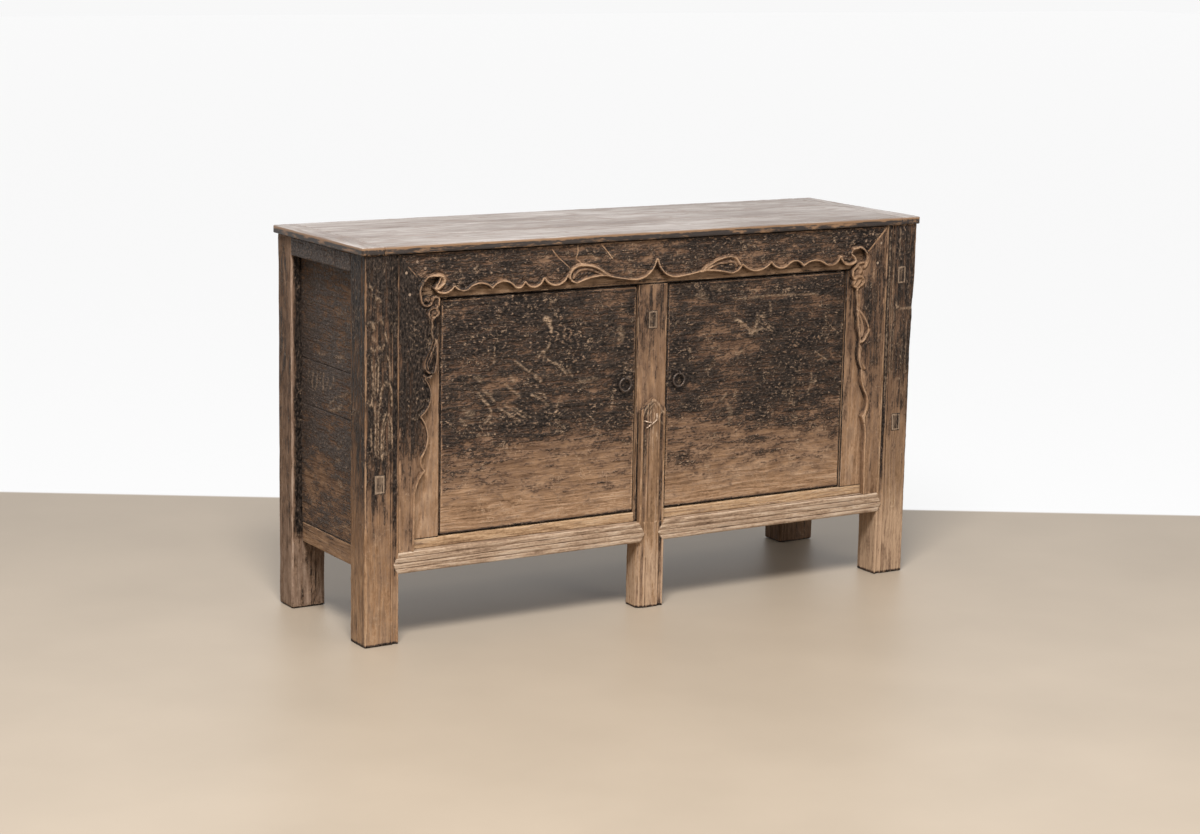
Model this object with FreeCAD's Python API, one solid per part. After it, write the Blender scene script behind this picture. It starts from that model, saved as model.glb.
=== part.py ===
import FreeCAD, Part
import math
import os

# Low two-door cabinet of old painted elm, in millimetres.
# +X is to the viewer's right, -Y is the front and +Z is up.
# The origin lies on the floor, under the middle of the top.

V = FreeCAD.Vector

# Case, measured over the corner posts
case_width = 1428.0
case_depth = 426.0
case_height = 850.0

# Top of long boards between two end caps
top_thickness = 17.0
top_side_overhang = 9.5
top_front_overhang = 6.0
top_back_overhang = 3.0
top_nose_radius = 3.0
top_nose_share = 0.45
end_cap_width = 52.0
end_cap_tongue = 14.0
end_cap_tongue_thickness = 6.0
top_board_names = ("front", "middle", "back")
top_batten_width = 44.0
top_batten_height = 18.0
top_batten_let_in = 6.0
top_batten_flare = 3.0
top_batten_offset = 400.0

# Corner posts and the double bead on the inner front edges
post_width = 80.0
post_depth = 68.0
post_corner_radius = 3.0
right_back_post_extra_width = 18.0
bead_width = 6.0
bead_groove = 8.0

# Rails between the posts
rail_bottom = 152.0
rail_height = 46.0
rail_tenon_length = 30.0
rail_tenon_thickness = 14.0
rail_tenon_shoulder = 8.0
front_rail_depth = 62.0
front_rail_reeds = 4
front_rail_reed_rise = 2.0
front_rail_post_mitre = 12.0
front_rail_leg_mitre = 17.0
front_rail_mitre_rise = 19.0
front_rail_mitre_depth = 9.0
upper_rail_height = 42.0
side_rail_thickness = 30.0
back_rail_thickness = 40.0

# Carved apron on the front frame
apron_setback = 2.0
apron_thickness = 13.0
apron_top_gap = 3.0
apron_bead_width = 4.5
apron_bead_rise = 1.6
peg_radius = 3.2
peg_sides = 8
peg_depth = 20.0

# Front frame behind the apron
frame_thickness = 30.0
head_rail_height = 101.0
sill_height = 21.0
sill_depth = 35.0
inner_stile_width = 102.0
stile_tenon_width = 60.0
stile_tenon_length = 12.0
stile_tenon_thickness = 12.0

# Centre stile and centre leg
centre_stile_width = 77.0
door_stop_lip = 8.0
door_stop_gap = 0.5
door_stop_thickness = 15.0
centre_stile_tenon_width = 40.0
leg_width = 68.0
leg_depth = 50.0
leg_foot_wear = 11.0
leg_tenon_length = 22.0
leg_lap_width = 64.0
leg_lap_shoulder_z = 455.0
leg_lap_peak_z = 483.0

# Doors
door_gap = 3.0
door_recess = 2.0
door_thickness = 22.0
door_hinge_radius = 8.0
left_door_worn_corner = 12.0
right_door_worn_corner = 6.0
door_batten_width = 46.0
door_batten_thickness = 16.0
door_batten_let_in = 5.0
door_batten_flare = 3.0
door_batten_inset = 62.0
door_batten_end_gap = 32.0
pivot_radius = 6.0
pivot_inset = 14.0
pivot_in_door = 26.0
pivot_in_frame = 15.0
pivot_clearance = 0.08
pivot_fit_gap = 0.02

# Ring pulls
pull_inset = 29.0
pull_height = 527.0
ring_radius = 14.5
ring_wire_radius = 2.2
ring_side_count = 20
ring_hang_gap = 0.35
eye_radius = 4.7
eye_wire_radius = 1.5
eye_side_count = 12
wire_sides = 6
shank_width = 3.4
clinch_length = 9.0
clinch_thickness = 1.6

# Side panels, back and floor
side_panel_recess = 25.0
side_board_thickness = 14.0
side_seam_heights = (466.0, 567.0)
side_board_names = ("lower", "middle", "upper")
panel_tongue = 8.0
back_panel_recess = 10.0
back_board_thickness = 12.0
back_board_count = 4
floor_thickness = 14.0
floor_board_names = ("front", "middle", "back")
bearer_width = 40.0
bearer_height = 34.0
bearer_tenon = 12.0
bearer_offset = 330.0
bearer_names = ("left", "centre", "right")

# Let-in patches
patch_width = 26.0
patch_height = 42.0
patch_depth = 7.0
post_patch_inset = 34.0
left_post_patch_height = 350.0
right_post_patch_height = 365.0
right_post_patch_drop = 118.0
stile_patch_drop = 80.0

# Places that several pieces share
half_width = case_width / 2
top_depth = case_depth + top_front_overhang + top_back_overhang
top_half_width = half_width + top_side_overhang
front_y = -top_depth / 2 + top_front_overhang
back_y = front_y + case_depth
top_under = case_height - top_thickness
post_inner_x = half_width - post_width
front_post_back = front_y + post_depth
back_post_front = back_y - post_depth
rail_top = rail_bottom + rail_height
upper_rail_bottom = top_under - upper_rail_height
bead_strip = 2 * bead_width + bead_groove
apron_front = front_y + apron_setback
frame_front = apron_front + apron_thickness
frame_back = frame_front + frame_thickness
apron_top = top_under - apron_top_gap
head_rail_bottom = top_under - head_rail_height
sill_top = rail_top + sill_height
sill_back = frame_front + sill_depth
inner_stile_x = post_inner_x - inner_stile_width
centre_stile_x = centre_stile_width / 2
door_front = frame_front + door_recess
door_back = door_front + door_thickness
door_stop_front = door_back + door_stop_gap
door_inner_x = centre_stile_x + door_gap
door_outer_x = inner_stile_x - door_gap
door_bottom = sill_top + door_gap
door_top = head_rail_bottom - door_gap
pivot_x = door_outer_x - pivot_inset
pivot_y = door_front + door_thickness / 2
pull_x = door_inner_x + pull_inset
eye_y = door_front - eye_radius - eye_wire_radius
side_face_x = half_width - side_panel_recess
side_board_inner_x = side_face_x - side_board_thickness
side_rail_inner_x = side_face_x - side_rail_thickness
back_face_y = back_y - back_panel_recess
back_board_front = back_face_y - back_board_thickness
back_rail_front = back_face_y - back_rail_thickness


# Shared ways of making shapes
def block(x0, x1, y0, y1, z0, z1):
    return Part.makeBox(x1 - x0, y1 - y0, z1 - z0, V(x0, y0, z0))


def rod(radius, start, end):
    return Part.makeCylinder(radius, (end - start).Length, start, end - start)


def mirrored(shape):
    return shape.mirror(V(0, 0, 0), V(1, 0, 0))


def prism(wire, direction):
    return Part.Face(wire).extrude(direction)


def rounded_outline(corners):
    # Closed outline through (point, radius) corners; a radius of 0 stays sharp.
    edges = []
    first = None
    here = None
    for i, (point, radius) in enumerate(corners):
        before = (corners[i - 1][0] - point).normalize()
        after = (corners[(i + 1) % len(corners)][0] - point).normalize()
        half_angle = before.getAngle(after) / 2
        inward = (before + after).normalize()
        start = point + before * (radius / math.tan(half_angle))
        end = point + after * (radius / math.tan(half_angle))
        if here is not None:
            edges.append(Part.LineSegment(here, start).toShape())
        if radius > 0:
            middle = point + inward * (radius / math.sin(half_angle) - radius)
            edges.append(Part.Arc(start, middle, end).toShape())
        first = first or start
        here = end
    edges.append(Part.LineSegment(here, first).toShape())
    return Part.Wire(edges)


def curved_edges(start, steps, place):
    # Chain of edges from a start point: (end,) is straight, (through, end) an arc.
    edges = []
    here = place(start)
    for step in steps:
        there = [place(point) for point in step]
        if len(there) == 1:
            edges.append(Part.LineSegment(here, there[0]).toShape())
        else:
            edges.append(Part.Arc(here, there[0], there[1]).toShape())
        here = there[-1]
    return edges


# Front bottom rails: a reeded face, mitred shoulders and a tenon at each end
def reeded_face(x0, x1):
    pitch = rail_height / front_rail_reeds
    start = V(x0, front_y + front_rail_reed_rise, rail_bottom)
    here = start
    edges = []
    for i in range(front_rail_reeds):
        crest = V(x0, front_y, rail_bottom + (i + 0.5) * pitch)
        foot = V(x0, start.y, rail_bottom + (i + 1) * pitch)
        edges.append(Part.Arc(here, crest, foot).toShape())
        here = foot
    inner = front_y + front_rail_mitre_depth
    for point in (V(x0, inner, rail_top), V(x0, inner, rail_bottom), start):
        edges.append(Part.LineSegment(here, point).toShape())
        here = point
    return prism(Part.Wire(edges), V(x1 - x0, 0, 0))


def front_bottom_rail(reeded):
    # The plain version has the same outline and cuts the seats in the post and the leg.
    x0 = leg_width / 2
    x1 = post_inner_x
    tip_z = rail_bottom + front_rail_mitre_rise
    points = [(x0, rail_bottom), (x1, rail_bottom), (x1 + front_rail_post_mitre, tip_z),
              (x1, rail_top), (x0, rail_top), (x0 - front_rail_leg_mitre, tip_z)]
    outline = rounded_outline([(V(x, front_y, z), 0) for x, z in points])
    face = prism(outline, V(0, front_rail_mitre_depth, 0))
    if reeded:
        face = face.common(reeded_face(x0 - front_rail_leg_mitre, x1 + front_rail_post_mitre))
    body = block(x0, x1, front_y + front_rail_mitre_depth, front_y + front_rail_depth,
                 rail_bottom, rail_top)
    tenon_y = front_y + front_rail_depth / 2
    tenon = block(x0 - leg_tenon_length, x1 + rail_tenon_length,
                  tenon_y - rail_tenon_thickness / 2, tenon_y + rail_tenon_thickness / 2,
                  rail_bottom + rail_tenon_shoulder, rail_top - rail_tenon_shoulder)
    return face.fuse([body, tenon]).removeSplitter()


# Side and back rails
def side_rail(x0, x1, z0, z1):
    body = block(x0, x1, front_post_back, back_post_front, z0, z1)
    tenon_x = (x0 + x1) / 2
    tenon = block(tenon_x - rail_tenon_thickness / 2, tenon_x + rail_tenon_thickness / 2,
                  front_post_back - rail_tenon_length, back_post_front + rail_tenon_length,
                  z0 + rail_tenon_shoulder, z1 - rail_tenon_shoulder)
    return body.fuse(tenon).removeSplitter()


def back_rail(z0, z1):
    body = block(-post_inner_x, post_inner_x, back_rail_front, back_face_y, z0, z1)
    tenon_y = (back_rail_front + back_face_y) / 2
    tenon_x = post_inner_x + rail_tenon_length
    tenon = block(-tenon_x, tenon_x,
                  tenon_y - rail_tenon_thickness / 2, tenon_y + rail_tenon_thickness / 2,
                  z0 + rail_tenon_shoulder, z1 - rail_tenon_shoulder)
    return body.fuse(tenon).removeSplitter()


# Front frame: head rail, sills, inner stiles and centre stile
def head_rail():
    body = block(-post_inner_x, post_inner_x, frame_front, frame_back, head_rail_bottom, top_under)
    tenon_y = (frame_front + frame_back) / 2
    tenon_x = post_inner_x + rail_tenon_length
    tenon = block(-tenon_x, tenon_x,
                  tenon_y - rail_tenon_thickness / 2, tenon_y + rail_tenon_thickness / 2,
                  head_rail_bottom + rail_tenon_shoulder, top_under - rail_tenon_shoulder)
    return body.fuse(tenon).removeSplitter()


def sill():
    body = block(centre_stile_x, post_inner_x, frame_front, sill_back, rail_top, sill_top)
    tenon_y = (frame_front + sill_back) / 2
    tenon = block(post_inner_x, post_inner_x + rail_tenon_length,
                  tenon_y - rail_tenon_thickness / 2, tenon_y + rail_tenon_thickness / 2,
                  rail_top, sill_top)
    return body.fuse(tenon).removeSplitter()


def inner_stile():
    body = block(inner_stile_x, post_inner_x, frame_front, frame_back, sill_top, head_rail_bottom)
    middle_x = (inner_stile_x + post_inner_x) / 2
    middle_y = (frame_front + frame_back) / 2
    tenon = block(middle_x - stile_tenon_width / 2, middle_x + stile_tenon_width / 2,
                  middle_y - stile_tenon_thickness / 2, middle_y + stile_tenon_thickness / 2,
                  sill_top - stile_tenon_length, head_rail_bottom + stile_tenon_length)
    return body.fuse(tenon).removeSplitter()


def centre_stile():
    x = centre_stile_x
    lip = centre_stile_x + door_stop_lip
    back = door_stop_front + door_stop_thickness
    half_plan = [(x, frame_front), (x, door_stop_front), (lip, door_stop_front), (lip, back)]
    plan = half_plan + [(-px, py) for px, py in reversed(half_plan)]
    wire = rounded_outline([(V(px, py, rail_top), 0) for px, py in plan])
    body = prism(wire, V(0, 0, head_rail_bottom - rail_top))
    middle_y = (frame_front + frame_back) / 2
    tenon = block(-centre_stile_tenon_width / 2, centre_stile_tenon_width / 2,
                  middle_y - stile_tenon_thickness / 2, middle_y + stile_tenon_thickness / 2,
                  rail_top - stile_tenon_length, head_rail_bottom + stile_tenon_length)
    return body.fuse(tenon).removeSplitter()


# Posts and centre leg: a plan section with beads on the front arris, carried up the height
def bead_steps(edge_x, inward):
    # Front arris from the edge towards the middle: bead, flat groove, bead, quirk.
    r = bead_width / 2
    bottom = front_y + r
    x = [edge_x + inward * s for s in (0, r, bead_width, bead_width + bead_groove,
                                       bead_width + bead_groove + r, bead_strip)]
    return [((x[1], front_y), (x[2], bottom)), ((x[3], bottom),),
            ((x[4], front_y), (x[5], bottom)), ((x[5], front_y),)], (x[0], bottom)


def front_post():
    # Right-hand post; the section starts at the beaded inner edge.
    steps, start = bead_steps(post_inner_x, 1)
    r = post_corner_radius
    diagonal = r * (1 - math.sqrt(0.5))
    steps += [((half_width - r, front_y),),
              ((half_width - diagonal, front_y + diagonal), (half_width, front_y + r)),
              ((half_width, front_post_back),), ((post_inner_x, front_post_back),), (start,)]
    wire = Part.Wire(curved_edges(start, steps, lambda p: V(p[0], p[1], 0)))
    return prism(wire, V(0, 0, top_under))


def back_post(width):
    inner_x = half_width - width
    corners = [(V(inner_x, back_post_front, 0), 0), (V(half_width, back_post_front, 0), 0),
               (V(half_width, back_y, 0), post_corner_radius), (V(inner_x, back_y, 0), 0)]
    return prism(rounded_outline(corners), V(0, 0, top_under))


def beaded_leg_section(width, depth, z0, z1):
    steps, start = bead_steps(-width / 2, 1)
    other, end = bead_steps(width / 2, -1)
    flat_end = other[-1][0]
    back = [(flat_end,)]
    points = [end] + [step[-1] for step in other]
    for i in range(len(other) - 1, -1, -1):
        back.append(tuple(reversed(other[i][:-1])) + (points[i],))
    steps += back
    steps += [((width / 2, front_y + depth),), ((-width / 2, front_y + depth),), (start,)]
    wire = Part.Wire(curved_edges(start, steps, lambda p: V(p[0], p[1], z0)))
    return prism(wire, V(0, 0, z1 - z0))


def centre_leg():
    foot = beaded_leg_section(leg_width, leg_depth, 0, rail_top)
    edge = -leg_width / 2
    worn = [(edge, front_y), (edge + leg_foot_wear, front_y), (edge, front_y + leg_foot_wear)]
    foot = foot.cut(prism(rounded_outline([(V(px, py, 0), 0) for px, py in worn]), V(0, 0, rail_bottom)))
    lap_depth = frame_front - front_y
    lap = beaded_leg_section(leg_lap_width, lap_depth, rail_top, leg_lap_shoulder_z)
    x = leg_lap_width / 2
    point = [(-x, leg_lap_shoulder_z), (x, leg_lap_shoulder_z), (0, leg_lap_peak_z)]
    outline = rounded_outline([(V(px, front_y, pz), 0) for px, pz in point])
    return foot.fuse([lap, prism(outline, V(0, lap_depth, 0))]).removeSplitter()


# Carved apron. The edges are drawn as (along, down): along is measured from the post,
# down from the apron's top edge. The corner scroll keeps its drawn size, and the run
# beyond it is stretched to the length of the board.
mitre_foot = (60.0, 60.0)
scroll_zone = 140.0
top_edge_run = 631.5
side_edge_run = 632.0
centre_cusp = (top_edge_run, 45.0)

top_edge_left = [
    ((72, 51), (94, 51)), ((87, 66), (79, 74)), ((103, 88), (129, 75)),
    ((143, 84), (162, 83.5)), ((193, 72), (220, 85)), ((246, 71), (272, 83)),
    ((287, 87), (299, 76)), ((322, 88), (346, 70)), ((374, 87), (406, 67)),
    ((414, 80), (430, 85)), ((466, 75), (504, 74)), ((538, 81.5), (576, 86.5)),
    ((611, 76), centre_cusp)]
top_edge_right = [
    ((77, 47), (99, 58)), ((90, 67), (86, 76)), ((107, 86), (131, 66)),
    ((152, 84), (177, 79)), ((210, 71), (237, 83)), ((255, 69), (275, 74)),
    ((299, 83), (326, 68)), ((362, 85), (404, 69)), ((415, 81), (440, 85)),
    ((475, 79), (512, 77)), ((545, 83), (577, 86.5)), ((612, 76), centre_cusp)]
left_edge = [
    ((50, 83), (55, 100)), ((66, 88), (76, 93)), ((86, 89), (93, 104)),
    ((93, 112), (88, 117)), ((93, 127), (82, 136)), ((78, 155), (79, 176)),
    ((88, 180),), ((91, 215), (86, 250)), ((79, 260), (63, 264)),
    ((77, 295), (53, 344)), ((70, 387), (56, 430)), ((54, 445), (64, 461)),
    ((44, 490), (39, 530)), ((36, side_edge_run),)]
right_edge = [
    ((56, 70), (61, 80)), ((75, 79), (87, 88)), ((97, 104), (89, 122)),
    ((92, 134), (83, 140)), ((82, 160), (80, 180)), ((77, 222), (68, 264)),
    ((72, 298), (61, 333)), ((58, 365), (46, 392)), ((42, 418), (55, 444)),
    ((46, 470), (44, 510)), ((42, side_edge_run),)]


def stretched(distance, drawn_run, real_run):
    if distance <= scroll_zone:
        return distance
    return scroll_zone + (distance - scroll_zone) * (real_run - scroll_zone) / (drawn_run - scroll_zone)


def top_apron_point(hand):
    def place(point):
        along = stretched(point[0], top_edge_run, post_inner_x)
        return V(hand * (post_inner_x - along), apron_front, apron_top - point[1])
    return place


def side_apron_point(hand):
    def place(point):
        down = stretched(point[1], side_edge_run, apron_top - rail_top)
        return V(hand * (post_inner_x - point[0]), apron_front, apron_top - down)
    return place


def closed(edges):
    return Part.Wire(Part.__sortEdges__(edges))


def top_carving():
    edges = curved_edges(mitre_foot, top_edge_left, top_apron_point(-1))
    return edges + curved_edges(mitre_foot, top_edge_right, top_apron_point(1))


def apron_bead():
    # Raised bead along the whole carved edge: a band between the edge and its offset.
    # The outline reaches past the boards, so that the band follows the carved edge alone.
    past = 2 * apron_bead_width
    x = post_inner_x + past
    bottom = rail_top - past
    top = apron_top + past
    left_foot = side_apron_point(-1)(left_edge[-1][-1])
    right_foot = side_apron_point(1)(right_edge[-1][-1])
    around = [(left_foot.x, left_foot.z), (left_foot.x, bottom), (-x, bottom), (-x, top), (x, top),
              (x, bottom), (right_foot.x, bottom), (right_foot.x, right_foot.z)]
    edges = top_carving() + curved_edges(mitre_foot, left_edge, side_apron_point(-1))
    edges += curved_edges(mitre_foot, right_edge, side_apron_point(1))
    edges += curved_edges(around[0], [(point,) for point in around[1:]],
                          lambda p: V(p[0], apron_front, p[1]))
    sheet = Part.Face(closed(edges))
    band = sheet.cut(sheet.makeOffset2D(-apron_bead_width))
    return band.extrude(V(0, -apron_bead_rise, 0))


def carved_board(edges, bead):
    face = Part.Face(closed(edges))
    board = face.extrude(V(0, apron_thickness, 0))
    over = face.extrude(V(0, -apron_bead_rise, 0))
    return board.fuse(bead.common(over)).removeSplitter()


def top_apron(bead):
    edges = top_carving()
    ends = [top_apron_point(hand)((0, 0)) for hand in (-1, 1)]
    feet = [top_apron_point(hand)(mitre_foot) for hand in (-1, 1)]
    for start, end in ((feet[0], ends[0]), (ends[0], ends[1]), (ends[1], feet[1])):
        edges.append(Part.LineSegment(start, end).toShape())
    return carved_board(edges, bead)


def side_apron(hand, carved_edge, bead):
    outline = carved_edge + [((0, side_edge_run),), ((0, 0),), (mitre_foot,)]
    return carved_board(curved_edges(mitre_foot, outline, side_apron_point(hand)), bead)


# Pegs that hold the mitres of the apron, as (along, down) from the post and the top edge
corner_pegs = [(41, 16), (60, 31), (16, 38), (24, 84)]


def pegs():
    # Whittled pegs with flat sides, driven through the apron into the frame.
    found = []
    turn = 2 * math.pi / peg_sides
    for hand in (-1, 1):
        for along, down in corner_pegs:
            centre = V(hand * (post_inner_x - along), apron_front, apron_top - down)
            corners = [centre + V(math.cos(i * turn), 0, math.sin(i * turn)) * peg_radius
                       for i in range(peg_sides)]
            wire = rounded_outline([(corner, 0) for corner in corners])
            found.append(prism(wire, V(0, apron_thickness + peg_depth, 0)))
    return found


# Patches let into the posts and the centre stile
def patches():
    post_x = half_width - post_patch_inset
    places = [(-post_x, front_y, left_post_patch_height), (post_x, front_y, right_post_patch_height),
              (post_x, front_y, top_under - right_post_patch_drop),
              (0, frame_front, head_rail_bottom - stile_patch_drop)]
    return [block(x - patch_width / 2, x + patch_width / 2, y, y + patch_depth,
                  z - patch_height / 2, z + patch_height / 2) for x, y, z in places]


# Doors
def door(latch_corner, hinge_corner):
    # Right-hand plank: a plan section with a rounded hinge edge, cut to a front outline
    # whose lower corners are worn round.
    plan = [(V(door_inner_x, door_front, door_bottom), 0),
            (V(door_outer_x, door_front, door_bottom), door_hinge_radius),
            (V(door_outer_x, door_back, door_bottom), 0),
            (V(door_inner_x, door_back, door_bottom), 0)]
    plank = prism(rounded_outline(plan), V(0, 0, door_top - door_bottom))
    face = [(V(door_inner_x, door_front, door_bottom), latch_corner),
            (V(door_outer_x, door_front, door_bottom), hinge_corner),
            (V(door_outer_x, door_front, door_top), 0),
            (V(door_inner_x, door_front, door_top), 0)]
    return plank.common(prism(rounded_outline(face), V(0, door_thickness, 0)))


def dovetail(width, flare, let_in, height):
    # Section of a batten: narrow at the surface, flared where it is let in.
    half = width / 2
    return [(-half, -let_in), (half, -let_in), (half - flare, 0), (half, 0),
            (half, height - let_in), (-half, height - let_in), (-half, 0), (-half + flare, 0)]


def door_batten(middle_x):
    z0 = door_bottom + door_batten_end_gap
    z1 = door_top - door_batten_end_gap
    section = dovetail(door_batten_width, door_batten_flare, door_batten_let_in, door_batten_thickness)
    wire = rounded_outline([(V(middle_x + s, door_back + d, z0), 0) for s, d in section])
    return prism(wire, V(0, 0, z1 - z0))


def pivots(radius):
    lower = V(pivot_x, pivot_y, sill_top - pivot_in_frame)
    upper = V(pivot_x, pivot_y, head_rail_bottom + pivot_in_frame)
    return [rod(radius, lower, V(pivot_x, pivot_y, door_bottom + pivot_in_door)),
            rod(radius, V(pivot_x, pivot_y, door_top - pivot_in_door), upper)]


def hammered_ring(radius, wire_radius, centre, axis, flats):
    # Forged wire with flat sides, bent about the axis in short straight lengths.
    up = V(0, 0, 1)
    side = axis.cross(up)

    def corner(i, j):
        around = 2 * math.pi * i / flats
        about = 2 * math.pi * (j + 0.5) / wire_sides
        outward = up * math.cos(around) + side * math.sin(around)
        reach = radius + wire_radius * math.cos(about)
        return centre + outward * reach + axis * wire_radius * math.sin(about)

    faces = []
    for i in range(flats):
        for j in range(wire_sides):
            flat = [corner(i, j), corner(i + 1, j), corner(i + 1, j + 1), corner(i, j + 1)]
            faces.append(Part.Face(Part.makePolygon(flat + flat[:1])))
    return Part.makeSolid(Part.makeShell(faces))


def pull_eye():
    centre = V(pull_x, eye_y, pull_height)
    eye = hammered_ring(eye_radius, eye_wire_radius, centre, V(1, 0, 0), eye_side_count)
    half = shank_width / 2
    shank = block(pull_x - half, pull_x + half, eye_y + eye_radius, door_back + clinch_thickness,
                  pull_height - half, pull_height + half)
    clinch = block(pull_x - clinch_length, pull_x + clinch_length, door_back,
                   door_back + clinch_thickness, pull_height - half, pull_height + half)
    return eye.fuse([shank, clinch]).removeSplitter()


def pull_ring():
    hang = eye_radius - eye_wire_radius - ring_wire_radius - ring_hang_gap
    centre = V(pull_x, eye_y, pull_height - hang - ring_radius)
    return hammered_ring(ring_radius, ring_wire_radius, centre, V(0, 1, 0), ring_side_count)


# Top boards, end caps and battens
def top_slab():
    slab = block(-top_half_width, top_half_width, front_y - top_front_overhang, back_y + top_back_overhang,
                 top_under, case_height)
    nose = min(top_nose_radius, top_nose_share * top_thickness)
    around = [e for e in slab.Edges if e.BoundBox.ZLength < 1e-6]
    return slab.makeFillet(nose, around)


def top_tongue():
    middle = top_under + top_thickness / 2
    x = top_half_width - end_cap_width + end_cap_tongue
    return block(-x, x, front_y, back_y,
                 middle - end_cap_tongue_thickness / 2, middle + end_cap_tongue_thickness / 2)


def top_batten():
    section = dovetail(top_batten_width, top_batten_flare, top_batten_let_in, top_batten_height)
    wire = rounded_outline([(V(top_batten_offset + s, frame_back, top_under - d), 0) for s, d in section])
    return prism(wire, V(0, back_rail_front - frame_back, 0))


def top_pieces(battens):
    slab = top_slab()
    tongue = top_tongue()
    inner = top_half_width - end_cap_width
    wide = top_depth
    pieces = {}
    cap = slab.common(block(inner, top_half_width, -wide, wide, top_under, case_height)).cut(tongue)
    pieces["right_end_cap"] = cap
    pieces["left_end_cap"] = mirrored(cap)
    boards = slab.common(block(-inner, inner, -wide, wide, top_under, case_height))
    boards = boards.fuse(tongue).removeSplitter().cut(battens)
    step = top_depth / len(top_board_names)
    for i, name in enumerate(top_board_names):
        y0 = -top_depth / 2 + i * step
        strip = block(-top_half_width, top_half_width, y0, y0 + step, top_under, case_height)
        pieces["top_board_" + name] = boards.common(strip)
    return pieces


# Side boards, back boards, floor boards and bearers
def side_boards():
    levels = [rail_top] + list(side_seam_heights) + [upper_rail_bottom + panel_tongue]
    return [block(side_board_inner_x, side_face_x, front_post_back - panel_tongue,
                  back_post_front + panel_tongue, levels[i], levels[i + 1])
            for i in range(len(side_board_names))]


def back_boards():
    x = post_inner_x + panel_tongue
    step = (upper_rail_bottom + panel_tongue - rail_top) / back_board_count
    return [block(-x, x, back_board_front, back_face_y, rail_top + i * step, rail_top + (i + 1) * step)
            for i in range(back_board_count)]


def floor_boards():
    step = (back_board_front - sill_back) / len(floor_board_names)
    return [block(-side_board_inner_x, side_board_inner_x, sill_back + i * step, sill_back + (i + 1) * step,
                  rail_top, rail_top + floor_thickness)
            for i in range(len(floor_board_names))]


def bearer(middle_x, front):
    body = block(middle_x - bearer_width / 2, middle_x + bearer_width / 2, front, back_rail_front,
                 rail_top - bearer_height, rail_top)
    tenon = block(middle_x - rail_tenon_thickness / 2, middle_x + rail_tenon_thickness / 2,
                  front - bearer_tenon, back_rail_front + bearer_tenon,
                  rail_top - bearer_height + rail_tenon_shoulder, rail_top - rail_tenon_shoulder)
    return body.fuse(tenon).removeSplitter()


# Put the cabinet together: each mortise, groove and hole is cut by the piece that fills it.
nodes = {}

bearers = [bearer(-bearer_offset, front_y + front_rail_depth), bearer(0, front_y + leg_depth),
           bearer(bearer_offset, front_y + front_rail_depth)]
for name, shape in zip(bearer_names, bearers):
    nodes["floor_bearer_" + name] = shape

pivot_pins = pivots(pivot_radius)
pivot_holes = pivots(pivot_radius + pivot_clearance)
all_pivot_holes = pivot_holes + [mirrored(hole) for hole in pivot_holes]
patch_plugs = patches()
apron_pegs = pegs()

right_rail = front_bottom_rail(True)
nodes["right_bottom_rail"] = right_rail.cut(bearers)
nodes["left_bottom_rail"] = mirrored(right_rail).cut(bearers)

right_seat = front_bottom_rail(False)
rail_seats = [right_seat, mirrored(right_seat)]
lower_side_rail = side_rail(side_rail_inner_x, side_face_x, rail_bottom, rail_top).cut(right_seat)
upper_side_rail = side_rail(half_width - side_rail_thickness, half_width, upper_rail_bottom, top_under)
back_lower = back_rail(rail_bottom, rail_top)
back_upper = back_rail(upper_rail_bottom, top_under)
head = head_rail()
panel = side_boards()
backs = back_boards()
lower_side_rail = lower_side_rail.cut(back_lower)
upper_side_rail = upper_side_rail.cut([head, back_upper] + panel)
nodes["right_side_bottom_rail"] = lower_side_rail
nodes["left_side_bottom_rail"] = mirrored(lower_side_rail)
nodes["right_side_top_rail"] = upper_side_rail
nodes["left_side_top_rail"] = mirrored(upper_side_rail)
nodes["back_bottom_rail"] = back_lower.cut(bearers)
nodes["back_top_rail"] = back_upper.cut(backs)

stile = centre_stile().cut(rail_seats)
right_stile = inner_stile()
left_stile = mirrored(right_stile)
right_sill = sill().cut([stile, right_stile])
left_sill = mirrored(right_sill)
nodes["centre_stile"] = stile.cut(patch_plugs)
nodes["right_inner_stile"] = right_stile.cut(apron_pegs)
nodes["left_inner_stile"] = left_stile.cut(apron_pegs)
nodes["right_sill"] = right_sill.cut(all_pivot_holes)
nodes["left_sill"] = left_sill.cut(all_pivot_holes)
nodes["head_rail"] = head.cut([stile, right_stile, left_stile] + all_pivot_holes + apron_pegs)
nodes["centre_leg"] = centre_leg().cut(rail_seats + [stile, bearers[1]])

right_rails = [right_seat, right_sill, head, lower_side_rail, upper_side_rail]
front_corner = front_post().cut(right_rails + panel)
nodes["right_front_post"] = front_corner.cut(patch_plugs)
nodes["left_front_post"] = mirrored(front_corner).cut(patch_plugs)
back_joints = [back_lower, back_upper, lower_side_rail, upper_side_rail] + panel + backs
left_back_log = mirrored(back_post(post_width))
right_back_log = back_post(post_width + right_back_post_extra_width)
nodes["right_back_post"] = right_back_log.cut(back_joints)
nodes["left_back_post"] = left_back_log.cut([mirrored(piece) for piece in back_joints])

edge_bead = apron_bead()
nodes["top_apron"] = top_apron(edge_bead).cut(apron_pegs)
nodes["left_apron"] = side_apron(-1, left_edge, edge_bead).cut(apron_pegs)
nodes["right_apron"] = side_apron(1, right_edge, edge_bead).cut(apron_pegs)
nodes["apron_pegs"] = Part.makeCompound(apron_pegs)
nodes["patch_plugs"] = Part.makeCompound(patch_plugs)

right_batten = top_batten()
left_batten = mirrored(right_batten)
nodes["right_top_batten"] = right_batten
nodes["left_top_batten"] = left_batten
nodes.update(top_pieces([left_batten, right_batten]))

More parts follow.
